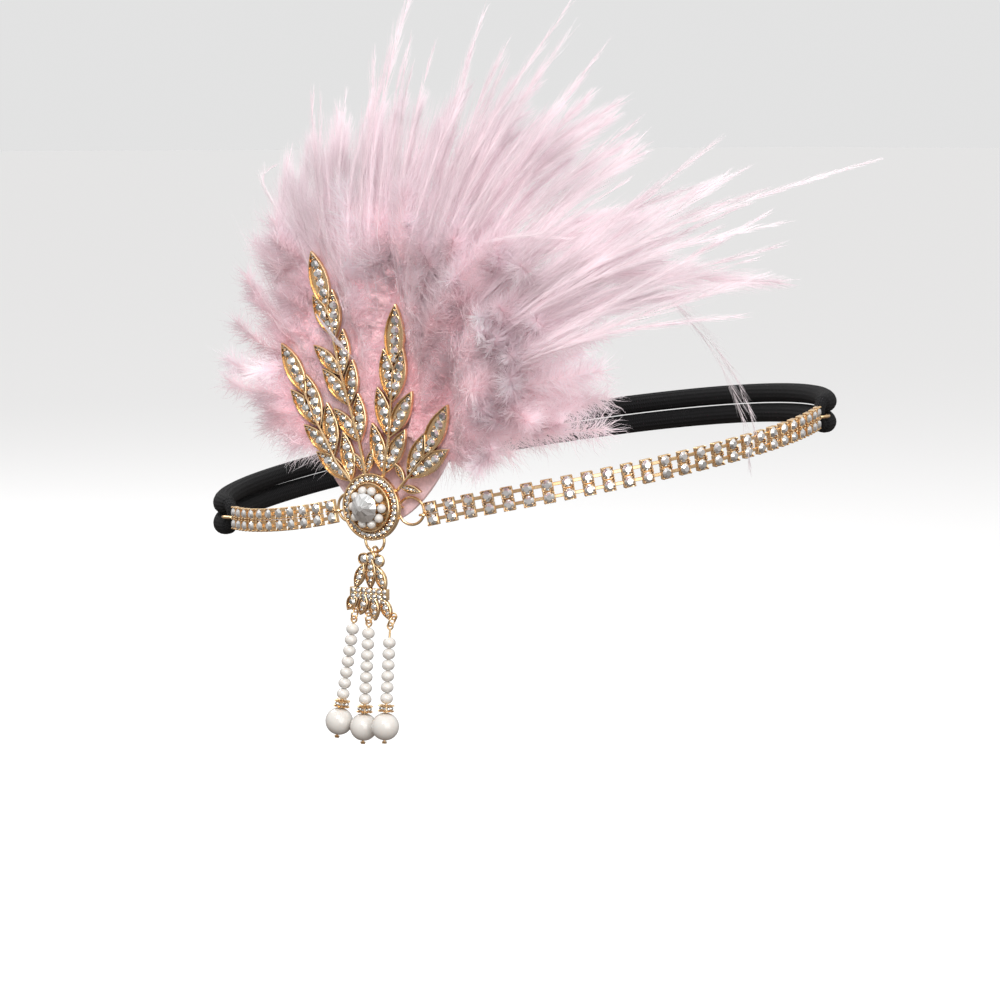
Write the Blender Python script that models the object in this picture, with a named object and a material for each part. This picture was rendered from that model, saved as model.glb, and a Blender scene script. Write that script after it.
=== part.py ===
"""Feather headband: a band of rhinestone cup chain and knitted elastic, with a leaf spray,
a pearl and crystal medallion, a pearl tassel and a feather plume at the right temple.

World frame: +Z up, -Y the wearer's front, +X the wearer's left, origin at the middle of the
head loop. The ornament is drawn in its own frame: x toward the front, y up, z outward.
All sizes below are millimetres.
"""

import math

import bmesh
import bpy
from mathutils import Matrix, Vector

MM = 0.001

# Head loop: half axes of its plan, slope of its plane, and how the ornament flattens it
LOOP_HALF_WIDTH = 85.8
LOOP_HALF_LENGTH = 94.4
LOOP_SIDE_SLOPE = 0.147
LOOP_FRONT_SLOPE = -0.107
LOOP_DENT = 4.6
LOOP_DENT_SPREAD = 37.0
LOOP_STEP = 0.5

# Ornament: where it faces, and how high it sits above the loop's plane
ORNAMENT_AZIMUTH = -72.0
ORNAMENT_LIFT = 2.0

# Working gap between pieces, and how a fused body is cleaned
GAP = 0.3
WELD = 0.0005
FLAT_ANGLE = 0.5

# Cup chain: columns of two cups joined by flat bars
CUP_SIZE = 3.5
CUP_DEPTH = 1.5
COLUMN_PITCH = 5.8
STONE_RADIUS = 1.55
STONE_RISE = 0.75
STONE_TABLE = 0.95
BAR_HEIGHT = 1.1
BAR_DEPTH = 0.6
FRONT_COLUMNS = 26
SIDE_COLUMNS = 11
CHAIN_STAND_OFF = 1.3
CHAIN_LIFT = 3.2
CHAIN_LIFT_SPREAD = 40.0
FRONT_SAG = -1.7
SIDE_SAG = 2.3
SAG_FADE = 20.0

# Wire eyes and jump rings
EYE_WIRE = 0.35
EYE_ROOM = GAP + 0.08
RING_RADIUS = 3.93
RING_WIRE = 0.42
EYE_RADIUS = RING_WIRE + EYE_ROOM + EYE_WIRE
RING_SEGMENTS = 14
EYE_SEGMENTS = 10
WIRE_SIDES = 5
EAR_SPREAD = 7.2
EAR_LEVEL = 5.0
EAR_OVERLAP = 0.9

# Felt pad
PAD_RADIUS = 24.5
PAD_HALF_HEIGHT = 26.0
PAD_TAPER = 0.3
PAD_CENTRE = (0.5, 21.0)
PAD_BACK = 1.6
PAD_THICKNESS = 1.5
PAD_SEGMENTS = 28

# Leaf spray: cast plate of four branches on a hub
SPRAY_HEIGHT = 74.0
SPRAY_THICKNESS = 1.2
SPRAY_BACK = 6.0
HUB_RADIUS = 8.2
HUB_SEGMENTS = 20
LEAF_LENGTH = 15.5
LEAF_WIDTH_SHARE = 0.35
LEAF_RIM = 0.75
LEAF_DISH = 0.4
STEM_WIDTH = 1.3
STEM_RISE = 0.08

# Stem bends as shares of the spray's height: toward the front, up
STEMS = {
    "rear": ((-0.050, 0.052), (-0.114, 0.098), (-0.178, 0.166), (-0.226, 0.251),
             (-0.286, 0.342), (-0.327, 0.434)),
    "tall": ((-0.020, 0.069), (-0.042, 0.132), (-0.070, 0.255), (-0.103, 0.353),
             (-0.139, 0.464), (-0.166, 0.551), (-0.187, 0.630), (-0.198, 0.709), (-0.228, 0.766)),
    "upright": ((0.025, 0.072), (0.046, 0.133), (0.067, 0.263), (0.079, 0.398), (0.090, 0.546)),
    "front": ((0.065, 0.039), (0.098, 0.058), (0.170, 0.134), (0.232, 0.205)),
}
STEM_FOOT_SHARE = 0.6

# Leaves: stem, share along the stem, lean from upright in degrees, length as a share of a leaf
LEAVES = (
    ("rear", 0.96, -30, 1.12), ("rear", 0.66, -18, 1.06), ("rear", 0.68, -44, 0.94),
    ("rear", 0.40, -50, 0.90), ("rear", 0.40, -9, 1.02), ("rear", 0.14, -57, 0.96),
    ("rear", 0.14, -12, 0.94),
    ("tall", 0.97, -18, 1.18), ("tall", 0.83, -31, 0.90), ("tall", 0.81, -2, 0.95),
    ("tall", 0.62, -49, 0.84), ("tall", 0.61, 1, 0.90), ("tall", 0.45, -42, 0.92),
    ("tall", 0.45, 4, 0.87), ("tall", 0.25, -43, 0.84), ("tall", 0.25, -2, 0.91),
    ("tall", 0.08, -38, 0.50), ("tall", 0.08, 18, 0.50),
    ("upright", 0.96, 2, 1.24), ("upright", 0.71, -10, 1.00), ("upright", 0.70, 14, 1.06),
    ("upright", 0.42, -15, 0.97), ("upright", 0.42, 30, 1.02), ("upright", 0.12, -15, 0.98),
    ("upright", 0.12, 29, 0.98),
    ("front", 0.94, 28, 1.16), ("front", 0.50, 24, 0.94), ("front", 0.50, 57, 1.06),
    ("front", 0.42, -32, 0.40), ("front", 0.30, 99, 0.46),
)

# Medallion: turned setting, pearls and a raised crystal
MEDALLION_RADIUS = 9.7
MEDALLION_RIM = 0.6
MEDALLION_RIM_RISE = 1.8
MEDALLION_BED_RISE = 1.3
HALO_WALL_RADIUS = 7.1
HALO_WALL = 0.5
HALO_WALL_RISE = 2.6
HALO_PEARLS = 10
HALO_PEARL_RADIUS = 1.35
HALO_RADIUS = 4.9
HALO_BORE = 0.5
SEAT_RISE = 0.15
SEAT_ROOM = GAP + 0.1
SEAT_FOOT_SHARE = 0.45
BED_SLOPE = 0.2
REST = 0.05
SETTING_SEGMENTS = 28
CRYSTAL_RADIUS = 4.2
CRYSTAL_CROWN = 2.1
CRYSTAL_PAVILION = 2.9
CRYSTAL_GIRDLE = 0.25
CRYSTAL_TABLE = 0.8
CRYSTAL_FACETS = 16
CULET_RADIUS = 0.25

# Tassel ring and the drop that hangs from it
TASSEL_SIDE = -1.2
TASSEL_RING_RADIUS = 3.23
DROP_EYE_RADIUS = 1.5
DROP_THICKNESS = 1.2
DROP_LENGTH = 19.9
DROP_LEAF_DISH = 0.35
DROP_LEAF_RIM = 0.525
DROP_LEAF_INSET = 0.02
DROP_LEAF_RISE = 0.05
DROP_LOBE_STEP = 0.15
DROP_BAR_LENGTH = 13.2
DROP_BAR_HEIGHT = 3.2

# Lobes of the drop as shares of its length below the ring's wire: sideways, down, radius
DROP_LOBES = ((-0.125, 0.100, 0.092), (0.135, 0.115, 0.095), (0.0, 0.068, 0.083))

# Leaves of the drop, shares of its length: base sideways, base down, tip sideways, tip down, width
DROP_LEAVES = (
    (0.00, 0.040, -0.010, 0.530, 0.190), (-0.115, 0.160, -0.270, 0.535, 0.165),
    (0.110, 0.190, 0.240, 0.555, 0.175), (-0.240, 0.600, -0.405, 0.865, 0.180),
    (-0.090, 0.610, -0.180, 0.920, 0.175), (0.040, 0.620, 0.075, 0.985, 0.180),
    (0.190, 0.640, 0.335, 0.960, 0.175),
)
DROP_BAR_SIDE = -0.03
DROP_BAR_DOWN = 0.595

# Pearl strings, shares of the drop's length except the last three, which are millimetres:
# eye on the drop sideways and down, eye on the string sideways and down, extra pin, then
# pearls, and how far the string leans sideways and outward over its length
STRINGS = (
    (-0.275, 0.838, -0.300, 0.990, 0.0, 7, -4.8, 1.9),
    (-0.050, 0.880, -0.040, 1.030, 0.0, 7, -1.4, 1.2),
    (0.395, 0.900, 0.330, 1.045, 1.9, 6, -0.3, 2.7),
)
STRING_EYE_WIRE = 0.28
STRING_EYE_RADIUS = 2.0 * STRING_EYE_WIRE + EYE_ROOM
STRING_PIN = 0.35
STRING_NECK = 0.4
SMALL_PEARL_RADIUS = 1.95
SMALL_PEARL_PITCH = 3.2
PEARL_END_SHARE = 0.45
PEARL_FACE_SHARE = 0.45
LARGE_PEARL_RADIUS = 4.0
LARGE_PEARL_STEPS = 7
RONDELLE_RADIUS = 2.45
RONDELLE_WAIST = 2.1
RONDELLE_HEIGHT = 1.9
PIN_HEAD_RADIUS = 0.8
PIN_HEAD_TIP = 0.64
PIN_HEAD_LENGTH = 0.6
TASSEL_RING_SEGMENTS = 12
BEAD_SIDES = 10
LARGE_BEAD_SIDES = 12

# Elastic loop and the end rings that hold it
ELASTIC_RADIUS = 3.0
ELASTIC_PINCH = 1.7
ELASTIC_SPREAD = 3.15
ELASTIC_STAND_OFF = 3.2
ELASTIC_SIDES = 8
ELASTIC_STEP = 18.0
ELASTIC_BEND_STEPS = 6
END_RING_WIRE = 0.45
END_RING_RADIUS = (EYE_RADIUS + EYE_WIRE + END_RING_WIRE) / 2 + ELASTIC_PINCH + EYE_ROOM

# Plume: backing and locks that fan out from one root, with a pocket for the spray
PLUME_ROOT = (5.0, 22.0)
PLUME_BACK = 3.4
PLUME_LENGTH = 100.0
PLUME_THICKNESS = 17.0
PLUME_LOCK_WIDTH = 25.0
PLUME_BACKING = (23.0, 19.0)
PLUME_BACKING_RISE = 9.0
BACKING_SHIFT = (-1.0, 7.0)
BACKING_SIDES = 12
BACKING_SHARES = (0.0, 0.55, 1.0)
BACKING_ROUNDING = 0.8
LOCK_SIDES = 6
LOCK_STEPS = 4
LOCK_ROOT_RADIUS = 1.6
LOCK_TIP_RADIUS = 1.12
LOCK_SWELL_FROM, LOCK_SWELL_TO = 0.06, 0.93
LOCK_SWELL_POWER, LOCK_FULLNESS = 0.85, 0.8
LOCK_DEPTH_AT_ROOT, LOCK_DEPTH_GROWTH = 0.25, 1.6
LOCK_START = 0.13
LOCK_FLAT_RUN = PAD_HALF_HEIGHT + 12.0
POCKET_MARGIN = 1.2
POCKET_REACH = 60.0
POCKET_SIDES = 16

# Locks: lean from upright in degrees toward the front, then shares: length of the plume,
# width of a lock, thickness of the plume, rise over the length, curl over the length
PLUME_LOCKS = (
    (-98, 0.40, 0.62, 0.62, 0.10, -0.16), (-86, 0.51, 0.80, 0.80, 0.18, -0.26),
    (-72, 0.59, 0.86, 0.90, 0.26, -0.34), (-58, 0.70, 0.92, 0.95, 0.30, -0.36),
    (-44, 0.75, 0.92, 1.00, 0.30, -0.34), (-31, 0.78, 0.90, 1.00, 0.26, -0.28),
    (-17, 0.79, 0.90, 1.00, 0.22, -0.20), (-4, 0.86, 0.92, 1.00, 0.20, -0.16),
    (9, 0.95, 0.96, 1.00, 0.22, -0.16), (20, 1.00, 0.96, 1.00, 0.28, -0.24),
    (31, 1.03, 0.96, 1.00, 0.34, -0.34), (42, 1.04, 0.96, 1.00, 0.40, -0.44),
    (53, 1.02, 0.96, 1.00, 0.44, -0.54), (65, 0.92, 0.92, 1.00, 0.48, -0.62),
    (76, 0.80, 0.84, 0.90, 0.48, -0.64), (87, 0.68, 0.72, 0.74, 0.42, -0.56),
    (96, 0.48, 0.52, 0.60, 0.30, -0.40),
    (-66, 0.44, 0.80, 0.90, 0.42, -0.20), (-38, 0.52, 0.80, 0.90, 0.40, -0.16),
    (36, 0.62, 0.90, 1.00, 0.56, -0.40), (51, 0.66, 0.90, 1.00, 0.58, -0.44),
    (66, 0.60, 0.88, 1.00, 0.58, -0.44), (81, 0.46, 0.72, 0.80, 0.52, -0.40),
    (-14, 0.98, 0.30, 0.30, 0.16, -0.10), (1, 1.10, 0.32, 0.30, 0.16, -0.10),
    (6.5, 1.24, 0.30, 0.26, 0.20, -0.14), (27, 1.34, 0.34, 0.30, 0.26, -0.20),
    (34, 1.29, 0.34, 0.30, 0.30, -0.26), (45, 1.20, 0.34, 0.30, 0.34, -0.34),
    (52, 1.31, 0.36, 0.30, 0.34, -0.36), (62, 1.70, 0.32, 0.26, 0.34, -0.36),
    (66, 1.30, 0.34, 0.28, 0.36, -0.40),
)

# Colours, metallic and roughness of each finish
FINISHES = {
    "gilt": ((0.83, 0.60, 0.34), 1.0, 0.25),
    "crystal": ((0.86, 0.88, 0.90), 0.0, 0.05),
    "pearl": ((0.93, 0.90, 0.86), 0.0, 0.25),
    "rose_feather": ((0.90, 0.66, 0.68), 0.0, 0.80),
    "rose_felt": ((0.78, 0.50, 0.53), 0.0, 0.90),
    "black_elastic": ((0.02, 0.02, 0.022), 0.0, 0.85),
}


def finish(name, finish_name):
    """A Principled material for one piece, in the colour of its finish."""
    colour, metallic, roughness = FINISHES[finish_name]
    material = bpy.data.materials.new(name + "_" + finish_name)
    material.use_nodes = True
    shader = material.node_tree.nodes["Principled BSDF"]
    shader.inputs["Base Color"].default_value = (*colour, 1.0)
    shader.inputs["Metallic"].default_value = metallic
    shader.inputs["Roughness"].default_value = roughness
    material.diffuse_color = (*colour, 1.0)
    return material


def mesh_object(name, shape, finish_name=None, parent=None, smooth_angle=35.0):
    """An object from a bmesh in millimetres, with its own material and parent frame."""
    bmesh.ops.recalc_face_normals(shape, faces=shape.faces[:])
    mesh = bpy.data.meshes.new(name)
    shape.to_mesh(mesh)
    shape.free()
    mesh.transform(Matrix.Scale(MM, 4))
    thing = bpy.data.objects.new(name, mesh)
    bpy.context.scene.collection.objects.link(thing)
    thing.parent = parent
    if finish_name:
        mesh.materials.append(finish(name, finish_name))
        mesh.shade_smooth()
        mesh.set_sharp_from_angle(angle=math.radians(smooth_angle))
    return thing


def combine(name, shapes, finish_name, parent=None, cutters=(), smooth_angle=35.0):
    """Fuse closed shapes into one body, take the cutters away, and keep the result as one mesh."""
    pieces = [mesh_object(f"{name}_piece_{i}", shape) for i, shape in enumerate(shapes)]
    tools = [mesh_object(f"{name}_cutter_{i}", shape) for i, shape in enumerate(cutters)]
    base = pieces[0]
    for operation, group in (("UNION", pieces[1:]), ("DIFFERENCE", tools)):
        if not group:
            continue
        operands = bpy.data.collections.new(f"{name}_{operation.lower()}")
        bpy.context.scene.collection.children.link(operands)
        for thing in group:
            operands.objects.link(thing)
        step = base.modifiers.new(operation.lower(), "BOOLEAN")
        step.operation = operation
        step.operand_type = "COLLECTION"
        step.collection = operands
        step.solver = "EXACT"
    evaluated = base.evaluated_get(bpy.context.evaluated_depsgraph_get())
    shape = bmesh.new()
    shape.from_mesh(evaluated.to_mesh())
    evaluated.to_mesh_clear()
    for thing in pieces + tools:
        bpy.data.objects.remove(thing)
    for operands in [group for group in bpy.data.collections if group.name.startswith(name + "_")]:
        bpy.data.collections.remove(operands)
    shape.transform(Matrix.Scale(1.0 / MM, 4))
    bmesh.ops.remove_doubles(shape, verts=shape.verts[:], dist=WELD)
    bmesh.ops.dissolve_degenerate(shape, edges=shape.edges[:], dist=WELD)
    bmesh.ops.dissolve_limit(shape, angle_limit=math.radians(FLAT_ANGLE), verts=shape.verts[:],
                             edges=shape.edges[:])
    bmesh.ops.triangulate(shape, faces=shape.faces[:])
    return mesh_object(name, shape, finish_name, parent, smooth_angle)


def frame_matrix(origin, along, up):
    """Axes x along, y as near up as it can be, z their cross product, at an origin."""
    x_axis = Vector(along).normalized()
    z_axis = x_axis.cross(Vector(up)).normalized()
    y_axis = z_axis.cross(x_axis)
    turn = Matrix((x_axis, y_axis, z_axis)).transposed().to_4x4()
    return Matrix.Translation(Vector(origin)) @ turn


def skin(shape, rings, closed=False):
    """Faces between rings of vertices, all the same length, with flat ends unless closed."""
    rows = [[shape.verts.new(point) for point in ring] for ring in rings]
    count = len(rows[0])
    pairs = list(zip(rows, rows[1:] + ([rows[0]] if closed else [])))
    for lower, upper in pairs:
        for i in range(count):
            j = (i + 1) % count
            shape.faces.new((lower[i], lower[j], upper[j], upper[i]))
    if not closed:
        shape.faces.new(rows[0][::-1])
        shape.faces.new(rows[-1])
    return rows


def turned(profile, sides, closed=False, matrix=None):
    """A turned shape from (radius, height) pairs; a closed profile makes a bored one."""
    shape = bmesh.new()
    rings = []
    for radius, height in profile:
        angles = [2.0 * math.pi * i / sides for i in range(sides)]
        rings.append([Vector((radius * math.cos(a), radius * math.sin(a), height)) for a in angles])
    skin(shape, rings, closed)
    if matrix:
        shape.transform(matrix)
    return shape


def ring_shape(radius, wire, segments, matrix=None):
    """A wire ring about its own z axis."""
    shape = bmesh.new()
    rings = []
    for i in range(segments):
        turn = 2.0 * math.pi * i / segments
        ring = []
        for k in range(WIRE_SIDES):
            around = 2.0 * math.pi * k / WIRE_SIDES
            reach = radius + wire * math.cos(around)
            ring.append(Vector((reach * math.cos(turn), reach * math.sin(turn), wire * math.sin(around))))
        rings.append(ring)
    skin(shape, rings, closed=True)
    if matrix:
        shape.transform(matrix)
    return shape


def block(size_x, size_y, low_z, high_z, matrix=None):
    """A box centred in x and y."""
    shape = bmesh.new()
    corners = [(-1, -1), (1, -1), (1, 1), (-1, 1)]
    rings = [[Vector((x * size_x / 2, y * size_y / 2, z)) for x, y in corners] for z in (low_z, high_z)]
    skin(shape, rings)
    if matrix:
        shape.transform(matrix)
    return shape


def leaf(base, tip, width, low, high, rim, dish):
    """A pointed leaf between two plan points, with a raised rim round a sunk face."""
    base, tip = Vector(base), Vector(tip)
    axis = tip - base
    side = Vector((-axis.y, axis.x)).normalized()
    shares = (0.22, 0.5, 0.78)
    swell = [1.0 - (2.0 * share - 1.0) ** 2 for share in shares]
    inner_width = max(width / 2 - rim, width * 0.1) / (width / 2)
    inner_start = min(1.6 * rim / axis.length, 0.3)

    def outline(start, scale):
        run = 1.0 - 2.0 * start
        stations = [start + share * run for share in shares]
        left = [base + axis * t + side * (width / 2 * s * scale) for t, s in zip(stations, swell)]
        right = [base + axis * t - side * (width / 2 * s * scale) for t, s in zip(stations, swell)]
        return [base + axis * start] + right + [base + axis * (1.0 - start)] + left[::-1]

    shape = bmesh.new()
    levels = ((0.0, 1.0, low), (0.0, 1.0, high), (inner_start, inner_width, high - dish))
    skin(shape, [[Vector((p.x, p.y, z)) for p in outline(start, scale)] for start, scale, z in levels])
    return shape


def along_path(points, share):
    """The point at a share of the length of a run of points."""
    lengths = [(b - a).length for a, b in zip(points, points[1:])]
    left = share * sum(lengths)
    for a, b, length in zip(points, points[1:], lengths):
        if left <= length:
            return a.lerp(b, left / length)
        left -= length
    return points[-1]


class HeadLoop:
    """The curve that the band follows, measured from the foot of the ornament."""

    def __init__(self):
        self.foot_turn = self.turn_facing(math.radians(ORNAMENT_AZIMUTH))
        steps = int(math.pi * (LOOP_HALF_WIDTH + LOOP_HALF_LENGTH) / LOOP_STEP)
        self.turns = [self.foot_turn + math.pi * (2.0 * i / steps - 1.0) for i in range(steps + 1)]
        plan = [self.plan_point(turn) for turn in self.turns]
        self.plan_runs = self.run_lengths(plan)

    @staticmethod
    def turn_facing(azimuth):
        """The turn on the plan ellipse where its outward normal has an azimuth from the front."""
        return math.atan2(LOOP_HALF_WIDTH * math.sin(azimuth), LOOP_HALF_LENGTH * math.cos(azimuth))

    @staticmethod
    def plan_point(turn):
        return Vector((LOOP_HALF_WIDTH * math.sin(turn), -LOOP_HALF_LENGTH * math.cos(turn), 0.0))

    @staticmethod
    def normal(turn):
        outward = Vector((math.sin(turn) / LOOP_HALF_WIDTH, -math.cos(turn) / LOOP_HALF_LENGTH, 0.0))
        return outward.normalized()

    @staticmethod
    def run_lengths(points):
        """Lengths along a run of points, zero at its middle."""
        runs = [0.0]
        for a, b in zip(points, points[1:]):
            runs.append(runs[-1] + (b - a).length)
        middle = runs[len(runs) // 2]
        return [run - middle for run in runs]

    def surface(self, turn, run, stand_off):
        """A point at a distance outside the head, flattened under the ornament."""
        dent = LOOP_DENT * math.exp(-((run / LOOP_DENT_SPREAD) ** 2))
        point = self.plan_point(turn) + self.normal(turn) * (stand_off - dent)
        point.z = LOOP_SIDE_SLOPE * point.x + LOOP_FRONT_SLOPE * point.y
        return point

    def ornament_matrix(self):
        """The ornament's frame: x toward the front, y up, z outward."""
        origin = self.surface(self.foot_turn, 0.0, 0.0) + Vector((0.0, 0.0, ORNAMENT_LIFT))
        outward = self.normal(self.foot_turn)
        return frame_matrix(origin, Vector((-outward.y, outward.x, 0.0)), (0.0, 0.0, 1.0))

    def track(self, stand_off, lift, first_reach=0.0):
        """The band's own line: its points and their distances from the ornament's foot."""
        points = []
        for turn, run in zip(self.turns, self.plan_runs):
            rise = lift * math.exp(-((run / CHAIN_LIFT_SPREAD) ** 2))
            point = self.surface(turn, run, stand_off + rise)
            sag = FRONT_SAG if run > 0.0 else SIDE_SAG
            fade = math.exp(-max(abs(run) - first_reach, 0.0) / SAG_FADE)
            point.z += sag * fade * min(1.0, abs(run) / max(first_reach, 1.0))
            points.append(point)
        return Track(points, self.run_lengths(points))


class Track:
    """Points along the band with their distances, read by distance."""

    def __init__(self, points, runs):
        self.points = points
        self.runs = runs

    def at(self, distance):
        """The point at a signed distance, positive toward the front."""
        total = self.runs[-1] - self.runs[0]
        while distance > self.runs[-1]:
            distance -= total
        while distance < self.runs[0]:
            distance += total
        low, high = 0, len(self.runs) - 1
        while high - low > 1:
            middle = (low + high) // 2
            if self.runs[middle] <= distance:
                low = middle
            else:
                high = middle
        share = (distance - self.runs[low]) / (self.runs[high] - self.runs[low])
        return self.points[low].lerp(self.points[high], share)

    def frame(self, distance, direction=1.0, reach=1.0):
        """Axes at a distance: x onward in the direction, y up the band, z outward or inward."""
        ahead = self.at(distance + direction * reach)
        behind = self.at(distance - direction * reach)
        return frame_matrix(self.at(distance), ahead - behind, (0.0, 0.0, 1.0))


def cup_chain(name, track, first, direction, columns, near_eye, far_eye):
    """Two rows of square cups with faceted stones, joined by flat bars, with an eye at each end.

    Each column is one block of two cups. The side of a cup opens where a bar starts, so the
    whole chain is one skin, and only the two end eyes are fused on.
    """
    shape = bmesh.new()
    half = CUP_SIZE / 2
    front, back = CUP_DEPTH / 2, -CUP_DEPTH / 2
    rows = (-CUP_SIZE, 0.0, CUP_SIZE)
    bar_half = BAR_HEIGHT / 2
    bar_low, bar_high = -BAR_DEPTH / 2, BAR_DEPTH / 2
    last_bars = None
    for column in range(columns):
        frame = track.frame(first + direction * column * COLUMN_PITCH, direction)
        outward = 1.0 if direction > 0 else -1.0

        def vert(x, y, z):
            return shape.verts.new(frame @ Vector((x, y, outward * z)))

        corners = {(sx, k, sz): vert(sx * half, rows[k], z)
                   for sx in (-1, 1) for k in range(3) for sz, z in ((-1, back), (1, front))}
        for k in (0, 2):
            shape.faces.new([corners[key] for key in ((-1, k, -1), (1, k, -1), (1, k, 1), (-1, k, 1))])
        for k in (0, 1):
            shape.faces.new([corners[key] for key in
                             ((-1, k, -1), (1, k, -1), (1, k + 1, -1), (-1, k + 1, -1))])
            square = [corners[key] for key in ((-1, k, 1), (1, k, 1), (1, k + 1, 1), (-1, k + 1, 1))]
            set_stone(shape, square, vert, (rows[k] + rows[k + 1]) / 2, front)
        bars = {}
        for sx in (-1, 1):
            open_side = (sx < 0 and column > 0) or (sx > 0 and column < columns - 1)
            for k in (0, 1):
                side = [corners[key] for key in ((sx, k, -1), (sx, k + 1, -1), (sx, k + 1, 1), (sx, k, 1))]
                if not open_side:
                    shape.faces.new(side)
                    continue
                middle = (rows[k] + rows[k + 1]) / 2
                mouth = [vert(sx * half, middle - bar_half, bar_low), vert(sx * half, middle + bar_half, bar_low),
                         vert(sx * half, middle + bar_half, bar_high), vert(sx * half, middle - bar_half, bar_high)]
                for i in range(4):
                    j = (i + 1) % 4
                    shape.faces.new((side[i], side[j], mouth[j], mouth[i]))
                bars[sx, k] = mouth
        if last_bars:
            for k in (0, 1):
                start, end = last_bars[1, k], bars[-1, k]
                for i in range(4):
                    j = (i + 1) % 4
                    shape.faces.new((start[i], start[j], end[j], end[i]))
        last_bars = bars
    return combine(name, [shape, near_eye, far_eye], "gilt", smooth_angle=20.0)


def set_stone(shape, square, vert, middle, level):
    """A cut stone in a square cup: a girdle of eight corners, eight facets and a table."""
    girdle = []
    for i in range(8):
        turn = math.radians(-112.5 + 45.0 * i)
        girdle.append(vert(STONE_RADIUS * math.cos(turn), middle + STONE_RADIUS * math.sin(turn), level))
    table = []
    for i in range(4):
        turn = math.radians(-90.0 + 90.0 * i)
        table.append(vert(STONE_TABLE * math.cos(turn), middle + STONE_TABLE * math.sin(turn),
                          level + STONE_RISE))
    for i in range(4):
        a, b = girdle[2 * i], girdle[2 * i + 1]
        onward = girdle[(2 * i + 2) % 8]
        shape.faces.new((square[i], square[(i + 1) % 4], b, a))
        shape.faces.new((square[(i + 1) % 4], onward, b))
        shape.faces.new((a, b, table[i]))
        shape.faces.new((b, onward, table[(i + 1) % 4], table[i]))
    shape.faces.new(table)


def spray_leaves():
    """Plan points and width of each leaf of the spray."""
    leaves = []
    for stem, share, lean, length_share in LEAVES:
        points = [Vector(point) * SPRAY_HEIGHT for point in STEMS[stem]]
        base = along_path(points, share)
        length = length_share * LEAF_LENGTH
        tip = base + Vector((math.sin(math.radians(lean)), math.cos(math.radians(lean)))) * length
        leaves.append((stem, base, tip, length * LEAF_WIDTH_SHARE))
    return leaves


def make_leaf_spray(frame):
    """The cast spray: leaves, stems and hub in one plate, with wire ears on its back."""
    low, high = SPRAY_BACK, SPRAY_BACK + SPRAY_THICKNESS
    shapes = [turned(((HUB_RADIUS, low), (HUB_RADIUS, high - STEM_RISE)), HUB_SEGMENTS)]
    for _, base, tip, width in spray_leaves():
        shapes.append(leaf(base, tip, width, low + STEM_RISE, high - STEM_RISE, LEAF_RIM, LEAF_DISH))
    for points in STEMS.values():
        line = [Vector(point) * SPRAY_HEIGHT for point in points]
        line[0] = line[0] * STEM_FOOT_SHARE
        shapes.append(ribbon(line, STEM_WIDTH, low, high))
    for x, y, axis in ((EAR_SPREAD, 0.0, "X"), (-EAR_SPREAD, 0.0, "X"),
                       (TASSEL_SIDE, -tassel_ear_drop(), "Y")):
        turn = Matrix.Rotation(math.radians(90), 4, axis)
        shapes.append(ring_shape(EYE_RADIUS, EYE_WIRE, EYE_SEGMENTS,
                                 Matrix.Translation((x, y, EAR_LEVEL)) @ turn))
    return combine("leaf_spray", shapes, "gilt", frame, smooth_angle=30.0)


def ribbon(points, width, low, high):
    """A flat bar of one width along plan points."""
    shape = bmesh.new()
    rings = []
    for i, point in enumerate(points):
        ahead = points[min(i + 1, len(points) - 1)] - points[max(i - 1, 0)]
        side = Vector((-ahead.y, ahead.x)).normalized() * width / 2
        left, right = point + side, point - side
        rings.append([Vector((left.x, left.y, low)), Vector((right.x, right.y, low)),
                      Vector((right.x, right.y, high)), Vector((left.x, left.y, high))])
    skin(shape, rings)
    return shape


def tassel_ear_drop():
    """How far the tassel's ear lies below the middle of the hub."""
    return HUB_RADIUS - EYE_WIRE - EAR_OVERLAP


def make_felt_pad(frame):
    """The felt pad behind the plume: an egg shape, narrower below."""
    shape = bmesh.new()
    outline = []
    for i in range(PAD_SEGMENTS):
        turn = 2.0 * math.pi * i / PAD_SEGMENTS
        reach = PAD_RADIUS * math.cos(turn) * (1.0 + PAD_TAPER * math.sin(turn))
        outline.append((PAD_CENTRE[0] + reach, PAD_CENTRE[1] + PAD_HALF_HEIGHT * math.sin(turn)))
    levels = (PAD_BACK, PAD_BACK + PAD_THICKNESS)
    skin(shape, [[Vector((x, y, z)) for x, y in outline] for z in levels])
    return mesh_object("felt_pad", shape, "rose_felt", frame)


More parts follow.
